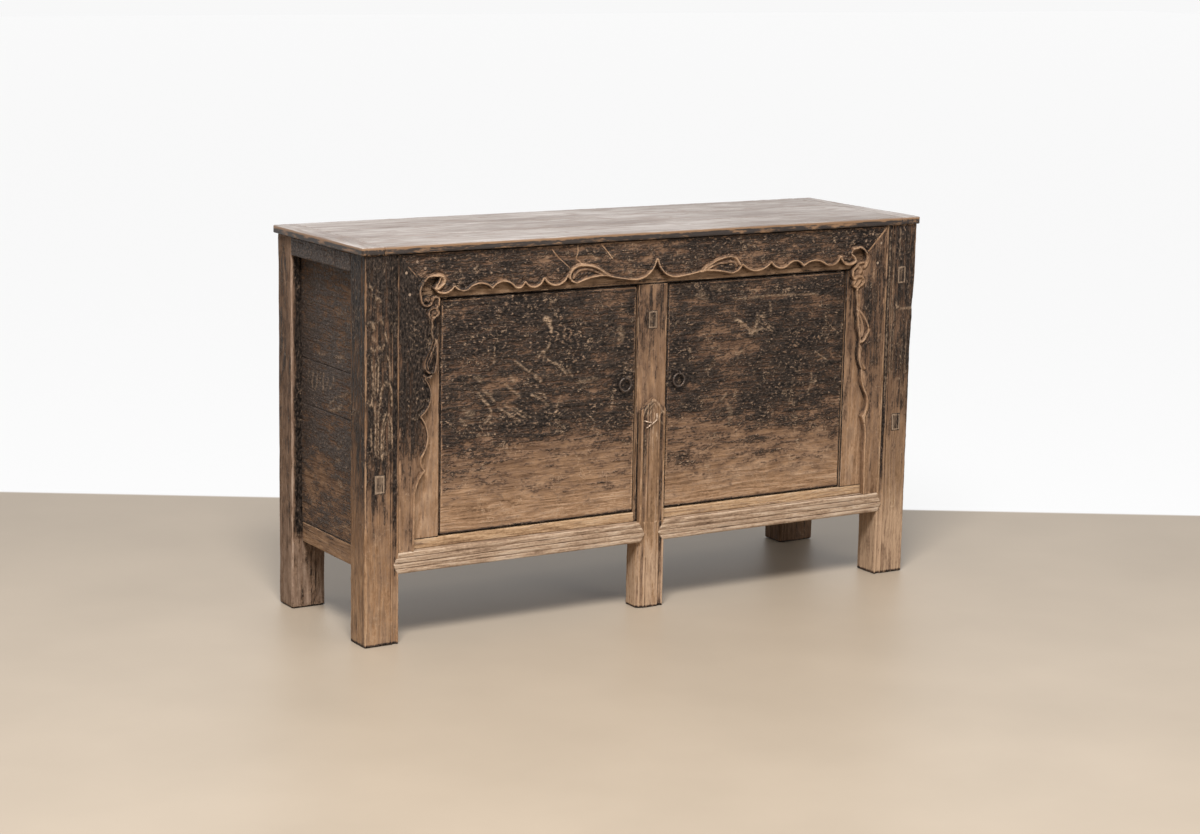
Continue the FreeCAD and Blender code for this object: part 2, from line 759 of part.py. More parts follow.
for name, shape in zip(side_board_names, panel):
    nodes["right_side_board_" + name] = shape
    nodes["left_side_board_" + name] = mirrored(shape)
for i, shape in enumerate(backs):
    nodes["back_board_%d" % (i + 1)] = shape
posts = [front_post(), mirrored(front_post()), left_back_log, right_back_log]
for name, shape in zip(floor_board_names, floor_boards()):
    nodes["floor_board_" + name] = shape.cut(posts + [stile])

battens = {"latch": door_batten(door_inner_x + door_batten_inset),
           "hinge": door_batten(door_outer_x - door_batten_inset)}
eye = pull_eye()
door_holes = list(battens.values()) + pivots(pivot_radius + pivot_fit_gap) + [eye]
nodes["right_door"] = door(0, right_door_worn_corner).cut(door_holes)
nodes["left_door"] = mirrored(door(left_door_worn_corner, 0).cut(door_holes))
hardware = {"pull_eye": eye, "pull_ring": pull_ring(),
            "door_pivots": Part.makeCompound(pivot_pins)}
for name, shape in battens.items():
    hardware["door_batten_" + name] = shape
for name, shape in hardware.items():
    nodes["right_" + name] = shape
    nodes["left_" + name] = mirrored(shape)

os.makedirs("parts", exist_ok=True)
for name, shape in nodes.items():
    shape.exportStep(os.path.join("parts", name + ".step"))
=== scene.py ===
import math

import bpy
import numpy as np
from mathutils import Matrix, Vector


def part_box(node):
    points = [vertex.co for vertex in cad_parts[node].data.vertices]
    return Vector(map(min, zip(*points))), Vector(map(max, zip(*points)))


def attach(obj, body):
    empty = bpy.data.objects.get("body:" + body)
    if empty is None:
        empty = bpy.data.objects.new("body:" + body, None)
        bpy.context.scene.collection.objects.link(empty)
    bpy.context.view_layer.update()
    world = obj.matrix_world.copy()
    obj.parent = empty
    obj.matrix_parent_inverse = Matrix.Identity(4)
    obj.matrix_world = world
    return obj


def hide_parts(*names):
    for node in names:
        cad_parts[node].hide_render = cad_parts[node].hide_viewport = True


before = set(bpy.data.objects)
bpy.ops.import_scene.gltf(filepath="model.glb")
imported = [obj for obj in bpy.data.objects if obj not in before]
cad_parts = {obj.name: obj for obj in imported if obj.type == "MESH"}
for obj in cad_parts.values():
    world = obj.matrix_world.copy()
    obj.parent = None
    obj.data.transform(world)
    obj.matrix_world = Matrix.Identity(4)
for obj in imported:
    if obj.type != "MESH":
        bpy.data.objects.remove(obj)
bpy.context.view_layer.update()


# Corner posts
# Four squared elm logs that run down as the legs. Joiners planed two beads along the inner arris of the
# front pair. The black lacquer has worn off their arrises and has long gone from the feet.
def plank(name, lo, hi, arris, pitch, **ends):
    # A squared board: a cube at its size and place, arrises rounded, then cut into a grid of about
    # pitch millimetres, fine enough to be worn and carved. Ends, as in x=(0, 1), stand for those of the box.
    lo, hi = lo.copy(), hi.copy()
    for axis, (start, end) in ends.items():
        setattr(lo, axis, start)
        setattr(hi, axis, end)
    bpy.ops.object.select_all(action="DESELECT")
    bpy.ops.mesh.primitive_cube_add(size=1, location=(lo + hi) / 2, scale=hi - lo)
    piece = bpy.context.object
    piece.name = piece.data.name = name
    bpy.ops.object.transform_apply(location=True, rotation=True, scale=True)
    bpy.context.tool_settings.mesh_select_mode = (False, True, False)
    bpy.ops.object.mode_set(mode="EDIT")
    bpy.ops.mesh.select_all(action="SELECT")
    bpy.ops.mesh.bevel(offset=arris / 1000, segments=3, affect="EDGES")
    bpy.ops.object.mode_set(mode="OBJECT")
    most_cuts = 40
    for axis in range(3):
        steps = round((hi[axis] - lo[axis]) * 1000 / pitch[axis])
        while steps > 1:
            cut = steps if steps <= most_cuts else round(math.sqrt(steps))
            mesh = piece.data
            spots = np.empty(len(mesh.vertices) * 3)
            ends = np.empty(len(mesh.edges) * 2, int)
            mesh.vertices.foreach_get("co", spots)
            mesh.edges.foreach_get("vertices", ends)
            way = np.diff(spots.reshape(-1, 3)[ends.reshape(-1, 2)], axis=1)[:, 0]
            mesh.vertices.foreach_set("select", np.zeros(len(mesh.vertices), bool))
            mesh.polygons.foreach_set("select", np.zeros(len(mesh.polygons), bool))
            mesh.edges.foreach_set("select", np.abs(way[:, axis]) > 0.999 * np.linalg.norm(way, axis=1))
            bpy.ops.object.mode_set(mode="EDIT")
            bpy.ops.mesh.subdivide(number_cuts=cut - 1)
            bpy.ops.object.mode_set(mode="OBJECT")
            steps = round(steps / cut)
    return piece


def unit(values):
    # The values, held between 0 and 1.
    return np.clip(values, 0, 1)


def points_of(piece):
    # The piece's points in millimetres.
    spots = np.empty(len(piece.data.vertices) * 3)
    piece.data.vertices.foreach_get("co", spots)
    return spots.reshape(-1, 3) * 1000


def set_points(piece, spots):
    piece.data.vertices.foreach_set("co", (spots / 1000).ravel())
    piece.data.update()


def keep(piece, name, values):
    # Keeps a number for each point of the piece, which its material reads.
    piece.data.attributes.new(name, "FLOAT", "POINT").data.foreach_set("value", values)


def shade(sharp=50):
    # Shades the active piece smooth, and crisp over arrises sharper than that many degrees.
    bpy.ops.object.shade_smooth_by_angle(angle=math.radians(sharp))


def arris_distance(spots):
    # How far each point of a squared piece lies from the nearest arris.
    depth = np.minimum(spots - spots.min(0), spots.max(0) - spots)
    return np.sort(depth, axis=1)[:, 1]


def worn(piece, size, depth, arris=0):
    # Uneven wear: the surface swells and sinks by depth millimetres in patches of about size
    # millimetres, over the whole piece or within arris millimetres of its arrises.
    lumps = bpy.data.textures.new(piece.name + "_wear", "CLOUDS")
    lumps.noise_scale = size / 1000
    lumps.noise_depth = 2
    wear = piece.modifiers.new("wear", "DISPLACE")
    wear.texture = lumps
    wear.texture_coords = "LOCAL"
    wear.strength = depth / 1000
    if arris:
        group = piece.vertex_groups.new(name="arris")
        share = unit(1.5 - arris_distance(points_of(piece)) / arris)
        for level in (0.25, 0.5, 0.75, 1.0):
            group.add(np.nonzero(share >= level)[0].tolist(), level, "REPLACE")
        wear.vertex_group = "arris"
    bpy.ops.object.modifier_apply(modifier="wear")
    piece.vertex_groups.clear()


def drawn(points):
    # A smooth line through the drawn points.
    p = np.array([points[0]] + list(points) + [points[-1]], float)
    t = np.linspace(0, 1, 7)[:, None]
    parts = []
    for a, b, c, d in zip(p, p[1:], p[2:], p[3:]):
        parts.append(0.5 * (2 * b + (c - a) * t + (2 * a - 5 * b + 4 * c - d) * t ** 2
                            + (3 * b - a - 3 * c + d) * t ** 3))
    return np.concatenate(parts)


def distance(spots, starts, ends):
    # Distance in the face of the board from each point to the nearest of these straight pieces.
    best = np.full(len(spots), 1e9)
    for a, b in zip(starts, ends):
        way = b - a
        near = unit(((spots - a) @ way) / max(way @ way, 1e-9))
        best = np.minimum(best, np.hypot(*(spots - a - near[:, None] * way).T))
    return best


def beside(face, line):
    # Which points of a face lie near a drawn line, and how far from it.
    reach = 20
    path = drawn(line)
    near = np.abs(face - path.mean(0)).max(1) < np.abs(path - path.mean(0)).max() + reach
    return near, distance(face[near], path[:-1], path[1:])


def scratch(piece, marks, front, across=0):
    # Draws pale scratches and ridges on the front of a piece, or on its left side when across is 1, a little
    # proud, and keeps how pale they are. Each mark has its points, half width and paleness.
    proud = 0.8
    spots = points_of(piece)
    face = spots[:, [across, 2]]
    deep = 1 - across
    at_front = unit((front * 1000 + 5 - spots[:, deep]) / 2)
    pale = np.zeros(len(spots))
    for line, half, tone in marks:
        near, off = beside(face, line)
        profile = unit(1.5 - off / half)
        pale[near] = np.maximum(pale[near], tone * profile)
    spots[:, deep] -= pale * at_front * proud
    set_points(piece, spots)
    keep(piece, "scratched", pale * at_front)


def beaded(spots, from_edge, front, depth, pale):
    # Planes two beads with a flat groove between them along an arris, and gives how pale they are rubbed, with painted
    # shade darkening the groove.
    bead = np.maximum(1 - ((from_edge - 3) / 3) ** 2, 1 - ((from_edge - 17) / 3) ** 2)
    planed = from_edge < 20.5
    sunk = np.where(planed, depth * (1 - np.sqrt(unit(bead))), 0)
    at_front = unit((front * 1000 + 4.5 - spots[:, 1]) / 3)
    spots[:, 1] += sunk * at_front
    return at_front * np.where(planed, pale - sunk / depth * 0.7, 0)


def dark_floor_line(spots):
    # The dark line where a foot stands on the floor.
    return 1.5 * unit(2 - spots[:, 2] / 2)


def linear(colour):
    # An sRGB hex colour as linear RGBA.
    parts = [int(colour[i:i + 2], 16) / 255 for i in (1, 3, 5)]
    return [c / 12.92 if c <= 0.04045 else ((c + 0.055) / 1.055) ** 2.4 for c in parts] + [1]


def feed(tree, node, inputs):
    # Gives a node its inputs, values or other nodes' outputs, by socket or in the order of its sockets.
    for socket, value in (inputs if isinstance(inputs, dict) else dict(enumerate(inputs))).items():
        if isinstance(value, bpy.types.NodeSocket):
            tree.links.new(value, node.inputs[socket])
        else:
            node.inputs[socket].default_value = value


def add(tree, kind, inputs=(), out=0, **settings):
    # Adds one shader node. A kind such as "Math ADD" names the node and its operation.
    kind, *operation = kind.split()
    made = tree.nodes.new("ShaderNode" + kind)
    if operation:
        made.operation = operation[0]
    for field, value in settings.items():
        setattr(made, field, value)
    feed(tree, made, inputs)
    return made.outputs[out]


def material(name):
    # A new material, its nodes, its shader and the object coordinates that its pattern hangs on.
    made = bpy.data.materials.new(name)
    made.use_nodes = True
    tree = made.node_tree
    return made, tree, tree.nodes["Principled BSDF"], add(tree, "TexCoord", out="Object")


def along_grain(tree, place, grain, layers):
    # Noise drawn out along the grain, for each layer's length and width in millimetres, detail, roughness
    # and bend.
    found = []
    for length, width, detail, rough, bend in layers:
        per_metre = [1000 / (length if axis == grain else width) for axis in range(3)]
        vector = add(tree, "Mapping", {"Vector": place, "Scale": per_metre})
        found.append(add(tree, "TexNoise", {"Vector": vector, "Scale": 1, "Detail": detail, "Roughness": rough,
                                            "Distortion": bend}))
    return found


def lacquered_elm(piece, grain, seed, height=(220, 470), cover=(0.0, 0.85), arris=4.0, scars=0.5,
                  wood=("#4c3626", "#8f7055", "#ad9075"), brown=("#4b382c", "#7b614d"), spots=(),
                  bleach=0.0, raised=0.15, joint_dirt_and_shade=0.0, shares=(1.3, 2.0, 1.1, 1.1, 0.6),
                  blacks=("#120e0c", "#40362f")):
    # Old elm under black-brown lacquer, rubbed and scarred for generations. Bare wood shows its growth
    # lines and fibres; over it lies a brown ground, then the lacquer, chipped in streaks along the grain.
    # It gives matt honey wood low down, and dull black with tan flecks and fine ridges higher up.
    # Cover is how much lacquer is left at the two heights, in millimetres. Arris is the width rubbed bare;
    # the joint width is that of the black along joints and gaps, partly dirt and partly painted shade. Spots have a
    # place, a radius and a change of cover.
    finish, tree, shader, place = material(piece.name + "_lacquered_elm")
    shifted = add(tree, "VectorMath ADD", (place, (seed * 0.37, seed * 0.53, seed * 0.71)))
    figure, streak, fibre, patch, chips, flakes = along_grain(tree, shifted, grain, (
        (620, 80, 1.5, 0.5, 0.3), (120, 8, 4, 0.62, 0), (45, 3.4, 2, 0.62, 0), (190, 90, 3, 0.62, 0),
        (42, 16, 4, 0.62, 0), (8.5, 4.8, 2, 0.62, 0)))
    # Growth lines are the contours of a broad figure.
    rings = add(tree, "Math MULTIPLY", (figure, 95.0))
    rings = add(tree, "Math SINE", (rings,))
    rings = add(tree, "MapRange", (rings, -1, 1))
    # Bare wood, from dark growth lines to pale early wood, bleached by mops near the floor.
    tone = add(tree, "Math MULTIPLY_ADD", (rings, 0.16, -0.93))
    for layer, share in ((streak, 1.0), (fibre, 0.7), (patch, 0.9), (flakes, 0.6)):
        tone = add(tree, "Math MULTIPLY_ADD", (layer, share, tone))
    level = add(tree, "SeparateXYZ", {"Vector": place}, out="Z")
    foot = add(tree, "MapRange", (level, 0.22, 0.08, 0, bleach))
    tone = add(tree, "Math ADD", (tone, foot))
    dark = add(tree, "MapRange", (tone, 0.28, 0.72))
    light = add(tree, "MapRange", (tone, 0.7, 1.05))
    bare = add(tree, "Mix", {0: dark, 6: linear(wood[0]), 7: linear(wood[1])}, out=2, data_type="RGBA")
    bare = add(tree, "Mix", {0: light, 6: bare, 7: linear(wood[2])}, out=2, data_type="RGBA")
    # How much lacquer is left: more with height, less in streaks, patches, chips and along the arrises. Black painted
    # along joints, partly dirt and partly painted shade, adds to it.
    mean = sum(shares) / 2
    left = add(tree, "MapRange", (level, height[0] / 1000, height[1] / 1000, cover[0] - mean, cover[1] - mean))
    for layer, share in zip((patch, streak, chips, fibre, flakes), shares):
        left = add(tree, "Math MULTIPLY_ADD", (layer, share, left))
    for spot, radius, change in spots:
        off = add(tree, "VectorMath DISTANCE", (place, [v / 1000 for v in spot]), out="Value")
        off = add(tree, "MapRange", (off, radius / 2000, radius / 1000, change, 0), interpolation_type="SMOOTHSTEP")
        left = add(tree, "Math ADD", (left, off))
    corners = points_of(piece)
    middle = (corners.max(0) + corners.min(0)) / 2000
    half = (corners.max(0) - corners.min(0)) / 2000
    inward = add(tree, "VectorMath SUBTRACT", (place, middle))
    inward = add(tree, "VectorMath ABSOLUTE", (inward,))
    inward = add(tree, "VectorMath SUBTRACT", (half, inward))
    across, deep, up = [add(tree, "SeparateXYZ", {"Vector": inward}, out=axis) for axis in "XYZ"]
    low = add(tree, "Math MINIMUM", (across, deep))
    high = add(tree, "Math MAXIMUM", (across, deep))
    high = add(tree, "Math MINIMUM", (high, up))
    edge = add(tree, "Math MAXIMUM", (low, high))
    # Black within the joint width of the arrises: partly dirt, partly painted shade in the gaps.
    if joint_dirt_and_shade:
        joint_dirt_and_shade_cover = add(tree, "MapRange", (edge, joint_dirt_and_shade / 2000, joint_dirt_and_shade / 1000, 2.0, 0))
        left = add(tree, "Math ADD", (left, joint_dirt_and_shade_cover))
    edge = add(tree, "Math MULTIPLY_ADD", (chips, -0.016, edge))
    rub = add(tree, "MapRange", (edge, arris * 0.0002 - 0.008, arris / 1000 - 0.008, 1, 0),
              interpolation_type="SMOOTHSTEP")
    left = add(tree, "Math MULTIPLY_ADD", (rub, -0.75, left))
    # The carved attribute pales wood that is worn or carved, and paints black where below zero: painted shade in gaps,
    # grooves, corners and hollows, a dark line at the feet, and dirt round the patches.
    carved = add(tree, "Attribute", out="Fac", attribute_name="carved")
    left = add(tree, "Math MULTIPLY_ADD", (carved, -1.0, left))
    ground = add(tree, "MapRange", (left, -0.4, 0.4), interpolation_type="SMOOTHSTEP")
    black = add(tree, "MapRange", (left, 0.25, 0.7), interpolation_type="SMOOTHSTEP")
    # Crisp flecks where the lacquer has flaked off, thicker in some places than in others.
    fleck = add(tree, "Math MULTIPLY_ADD", (chips, 0.3, flakes))
    fleck = add(tree, "Math MULTIPLY_ADD", (patch, 0.25, fleck))
    fleck = add(tree, "MapRange", (fleck, 0.9, 1.02, 0, min(1.0, scars * 1.3)))
    fleck = add(tree, "Math MULTIPLY", (fleck, black))
    # Scars: pits and short squiggles in clusters, and the marks that are drawn on the piece itself: scratches, and
    # painted highlights on carved crests.
    gate = add(tree, "TexNoise", {"Vector": shifted, "Scale": 1000 / 45, "Detail": 3, "Roughness": 0.6})
    gate = add(tree, "MapRange", (gate, 0.5, 0.62))
    warp = add(tree, "TexNoise", {"Vector": shifted, "Scale": 1000 / 7, "Detail": 2}, out="Color")
    warp = add(tree, "VectorMath MULTIPLY_ADD", (warp, (0.016, 0.016, 0.016), shifted))
    pit = add(tree, "TexVoronoi", {"Vector": warp, "Scale": 1000 / 13}, out="Distance")
    pit = add(tree, "MapRange", (pit, 0.08, 0.26, 0.8, 0))
    bend = add(tree, "TexNoise", {"Vector": warp, "Scale": 1000 / 34, "Detail": 1})
    bend = add(tree, "Math SUBTRACT", (bend, 0.5))
    bend = add(tree, "Math ABSOLUTE", (bend,))
    bend = add(tree, "MapRange", (bend, 0.004, 0.022, 0.9, 0))
    broken = add(tree, "MapRange", (flakes, 0.4, 0.58, 0.2, 1.0))
    bend = add(tree, "Math MULTIPLY", (bend, broken))
    scar = add(tree, "Math MAXIMUM", (pit, bend))
    scar = add(tree, "Math MULTIPLY", (scar, gate))
    scar = add(tree, "Math MULTIPLY", (scar, scars))
    mark = add(tree, "Attribute", out="Fac", attribute_name="scratched")
    mark = add(tree, "Math MULTIPLY", (mark, broken))
    scar = add(tree, "Math MAXIMUM", (scar, mark))
    # Colours from the wood up.
    tint = add(tree, "Math ADD", (streak, fibre))
    tint = add(tree, "MapRange", (tint, 0.8, 1.25))
    earth = add(tree, "Mix", {0: tint, 6: linear(brown[0]), 7: linear(brown[1])}, out=2, data_type="RGBA")
    ink = add(tree, "MapRange", (flakes, 0.38, 0.7))
    ink = add(tree, "Mix", {0: ink, 6: linear(blacks[0]), 7: linear(blacks[1])}, out=2, data_type="RGBA")
    tan = add(tree, "MapRange", (fibre, 0.38, 0.66))
    tan = add(tree, "Mix", {0: tan, 6: linear("#5c4434"), 7: linear("#a1866d")}, out=2, data_type="RGBA")
    colour = bare
    for share, over in ((ground, earth), (black, ink), (fleck, tan), (scar, linear("#a68b71"))):
        colour = add(tree, "Mix", {0: share, 6: colour, 7: over}, out=2, data_type="RGBA")
    rough = add(tree, "MapRange", (black, 0, 1, 0.75, 0.47))
    # Relief in millimetres: fibres, growth lines, the thickness of the lacquer and the scars.
    crust = add(tree, "Math MULTIPLY_ADD", (chips, 0.5, flakes))
    thick = add(tree, "MapRange", (black, 0, 1, 0.7, 3.0))
    relief = add(tree, "Math MULTIPLY", (crust, thick))
    for layer, share in ((rings, raised), (streak, 2.0), (fibre, 1.6), (scar, 0.7), (fleck, 0.4)):
        relief = add(tree, "Math MULTIPLY_ADD", (layer, share, relief))
    normal = add(tree, "Bump", {"Strength": 1.0, "Distance": 0.001, "Height": relief})
    feed(tree, shader, {"Base Color": colour, "Roughness": rough, "Specular IOR Level": 0.11, "Normal": normal})
    piece.data.materials.clear()
    piece.data.materials.append(finish)


both = (("left", -1), ("right", 1))
post_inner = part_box("right_front_post")[0].x
# Raised grain, knocks and a knot on the faces of the front posts, as (x, z) points.
post_scars = {
    "left": [
        ([(-675, 402), (-676, 440), (-674, 474), (-668, 496), (-662, 499), (-655, 490), (-652, 468),
          (-651, 430)], 2.0, 0.8),
        ([(-670, 402), (-671, 440), (-669, 470), (-664, 486), (-659, 476), (-658, 440)], 1.7, 0.5),
        ([(-679, 520), (-677, 545), (-671, 561), (-664, 564), (-657, 560), (-653, 545), (-652, 515)], 2.0, 0.8),
        ([(-683, 410), (-684, 450), (-683, 500), (-680, 520)], 1.7, 0.6),
        ([(-690, 420), (-690, 480), (-692, 512)], 1.8, 0.6),
        ([(-698, 612), (-696, 580), (-697, 545), (-699, 524)], 1.9, 0.65),
        ([(-684, 622), (-683, 590), (-685, 545)], 1.8, 0.65),
        ([(-690, 606), (-690, 570), (-691, 535)], 1.7, 0.55), ([(-702, 522), (-694, 518), (-686, 523)], 3.0, 0.65),
        ([(-700, 640), (-692, 632), (-684, 641), (-676, 636), (-670, 644)], 1.9, 0.65),
        ([(-662, 622), (-657, 600), (-655, 570)], 1.9, 0.6), ([(-697, 690), (-694, 680)], 3.2, 0.65),
        ([(-680, 700), (-672, 690)], 2.0, 0.6), ([(-690, 744), (-680, 738)], 3.0, 0.6),
        ([(-698, 662), (-690, 655)], 2.6, 0.6), ([(-668, 668), (-664, 655)], 1.9, 0.55),
        ([(-704, 770), (-696, 760)], 1.9, 0.5),
        ([(-655, 452), (-650, 446)], 3.0, 0.5), ([(-700, 470), (-699, 430)], 1.8, 0.5),
    ],
    "right": [
        ([(668, 650), (669, 641), (678, 637), (700, 636), (712, 636)], 2.0, 0.8),
        ([(655, 780), (656, 700), (655, 600), (656, 480)], 1.7, 0.4),
        ([(645, 800), (646, 700), (645, 560), (646, 420)], 1.7, 0.4),
        ([(662, 640), (663, 560), (662, 470)], 1.6, 0.35), ([(690, 560), (689, 500), (692, 440)], 1.7, 0.35),
        ([(676, 470), (684, 468), (692, 472)], 1.7, 0.5), ([(686, 520), (690, 524)], 2.6, 0.5),
        ([(672, 300), (684, 310)], 1.9, 0.35),
        ([(700, 600), (701, 540), (700, 480)], 1.7, 0.35), ([(673, 820), (672, 760)], 1.8, 0.4),
        ([(672, 168), (675, 175), (681, 177), (687, 174), (689, 167), (686, 160), (680, 158), (674, 161),
          (672, 168)], 1.7, 0.6),
        ([(679, 168), (682, 168)], 2.0, 0.5),
    ],
}
for side, hand in both:
    lo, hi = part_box(side + "_front_post")
    post = plank(side + "_post", lo, hi, 2.5, (1.3, 6, 5))
    worn(post, 70, 1.4)
    worn(post, 14, 1.6, 5)
    spots = points_of(post)
    wear_and_painted_light = beaded(spots, hand * spots[:, 0] - post_inner * 1000, lo.y, 2.8, 0.12)
    if hand > 0:
        # The outer face of this post was never planed true: it swells towards the top, with one dent.
        outer = unit((spots[:, 0] - 690) / 20)
        swell = 5.5 * unit((spots[:, 2] - 560) / 150)
        dent = 2.0 * np.exp(-((spots[:, 2] - 640) / 14) ** 2)
        spots[:, 0] += outer * (swell - dent)
    set_points(post, spots)
    scratch(post, post_scars[side], lo.y)
    keep(post, "carved", wear_and_painted_light * np.clip((spots[:, 2] - 60) / 250, 0.15, 1) - dark_floor_line(spots))
    shade()
    if hand < 0:
        lacquered_elm(post, 2, 0.0, (110, 460), (-0.15, 0.55), 5, 0.4, ("#4c3524", "#8a6a4e", "#a5876a"),
                      spots=[((-680, -211, 790), 150, 0.25), ((-670, -211, 480), 130, 0.08)], bleach=0.1, raised=0.8)
    else:
        lacquered_elm(post, 2, 2.0, (170, 520), (-0.3, 0.55), 5, 0.4, ("#4f3929", "#866a50", "#a4886e"),
                      bleach=0.5, raised=0.8)
    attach(post, "case")
    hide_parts(side + "_front_post")
    lo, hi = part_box(side + "_back_post")
    post = plank(side + "_back_post_log", lo, hi, 5, (6, 6, 8))
    worn(post, 60, 2.0)
    spots = points_of(post)
    # Painted shade in the corner between this post and the side boards.
    painted_corner_shade = unit((lo.y * 1000 + 5 - spots[:, 1]) / 3) * unit((706 - np.abs(spots[:, 0])) / 4)
    keep(post, "carved", -dark_floor_line(spots) - painted_corner_shade * unit((spots[:, 2] - 150) / 40))
    shade()
    # The right back post is given darker wood than the left one: painted shade.
    lacquered_elm(post, 2, 5.0 + hand, (60, 420), (0.0, 0.3 if hand < 0 else 0.5), 6, 0.4,
                  ("#4c3b2e", "#8c7462", "#a99482") if hand < 0 else ("#2f2219", "#57412f", "#745a44"), raised=0.3)
    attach(post, "case")
    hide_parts(side + "_back_post")


# Front frame
# Head rail, sills, stiles beside the doors and the stile between them, of elm planed flat and set behind
# the apron. Little lacquer is left on them, so the honey brown of the wood shows.
head_lo, head_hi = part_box("head_rail")
rail = plank("head_rail_board", head_lo, head_hi, 2, (6, 15, 5), x=(-post_inner, post_inner))
worn(rail, 50, 0.8)
shade()
lacquered_elm(rail, 0, 11.0, (700, 800), (-0.1, 0.3), 3, 0.3, ("#553f2f", "#8d7056", "#ab9074"),
              ("#4d3a2c", "#7a5f48"), joint_dirt_and_shade=3)
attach(rail, "case")
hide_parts("head_rail")
for side, hand in both:
    lo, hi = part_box(side + "_sill")
    # Each sill stops short of the middle, behind the centre stile.
    ends = sorted((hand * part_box("centre_stile")[1].x * 0.83, hand * post_inner))
    sill = plank(side + "_sill_strip", lo, hi, 2.5, (5, 6, 3), x=ends)
    worn(sill, 40, 0.9)
    worn(sill, 10, 1.4, 4)
    shade()
    lacquered_elm(sill, 0, 13.0 + hand, (150, 260), (-0.3, -0.2), 3, 0.3, ("#5d4431", "#a58666", "#c0a588"), joint_dirt_and_shade=1.5)
    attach(sill, "case")
    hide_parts(side + "_sill")
    lo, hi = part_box(side + "_inner_stile")
    stile = plank(side + "_door_stile", lo, hi, 2, (3, 15, 5), z=(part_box("left_sill")[1].z, head_lo.z))
    worn(stile, 50, 0.8)
    shade()
    lacquered_elm(stile, 2, 15.0 + hand, (300, 720), (-0.25, 0.45), 3, 0.3, joint_dirt_and_shade=2.5)
    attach(stile, "case")
    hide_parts(side + "_inner_stile")
lo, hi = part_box("centre_stile")
door_gap = 0.003
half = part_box("right_door")[0].x - door_gap
rail_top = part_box("left_bottom_rail")[1].z
stile = plank("centre_stile_board", lo, hi, 2.5, (2.5, 15, 4), x=(-half, half), z=(rail_top, head_lo.z))
worn(stile, 50, 0.8)
worn(stile, 12, 1.0, 4)
spots = points_of(stile)
# A thin line of painted shade beside the pointed lap of the centre leg.
lap_half, lap_tip = 32, 483
off_side = np.clip(np.abs(spots[:, 0]) - lap_half, 0, None)
off_tip = np.clip(spots[:, 2] - lap_tip + np.abs(spots[:, 0]) * 0.875, 0, None)
from_lap = np.hypot(off_side, off_tip)
keep(stile, "carved", -0.9 * unit(1.4 - from_lap / 4) * np.clip((452 - spots[:, 2]) / 12, 0.15, 1))
shade()
lacquered_elm(stile, 2, 19.0, (300, 700), (-0.12, 0.3), 4, 0.4, joint_dirt_and_shade=2)
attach(stile, "case")
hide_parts("centre_stile")


# Bottom rails
# Two rails with four planed reeds along the face, tenoned into the posts and the centre leg and brought
# to a point over them. Feet and brooms have bleached them to bare tan wood.
for side, hand in both:
    lo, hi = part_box(side + "_bottom_rail")
    leg_tip, post_tip = 17, 12
    x0, x1 = sorted((hand * leg_tip / 1000, hand * (post_inner + post_tip / 1000)))
    rail = plank(side + "_reeded_rail", lo, hi, 3, (5, 6, 1.2), x=(x0, x1))
    worn(rail, 90, 0.8)
    worn(rail, 12, 1.0, 5)
    spots = points_of(rail)
    reeds, rail_height = 4, 46
    reed = np.abs(np.sin((spots[:, 2] - lo.z * 1000) / rail_height * reeds * math.pi))
    at_front = unit((lo.y * 1000 + 6 - spots[:, 1]) / 3)
    spots[:, 1] += at_front * 1.8 * (1 - reed ** 0.35) - at_front * 0.8
    # The ends run to a point at the front, over the leg and over the post.
    off_point = np.abs(spots[:, 2] - (lo.z * 1000 + 19)) / 27
    start_tip, end_tip = (leg_tip, post_tip) if hand > 0 else (post_tip, leg_tip)
    for end, inward, reach in ((x0 * 1000, 1, start_tip), (x1 * 1000, -1, end_tip)):
        near_end = unit(1 - np.abs(spots[:, 0] - end) / 22)
        spots[:, 0] += inward * near_end * off_point * reach
    set_points(rail, spots)
    # Painted shade darkens the grooves between the reeds.
    keep(rail, "carved", at_front * (0.1 - 0.65 * (1 - reed) ** 5))
    shade(60)
    lacquered_elm(rail, 0, 23.0 + hand, (150, 260), (-0.3, -0.25), 4, 0.3, ("#554032", "#998069", "#bba792"))
    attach(rail, "case")
    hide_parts(side + "_bottom_rail")


# Centre leg
# A moulded elm leg in front of the centre stile, beaded on both arrises. Its upper part is a thin lap that
# is nailed on the stile and ends in a point.
lo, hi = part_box("centre_leg")
foot_half = 34
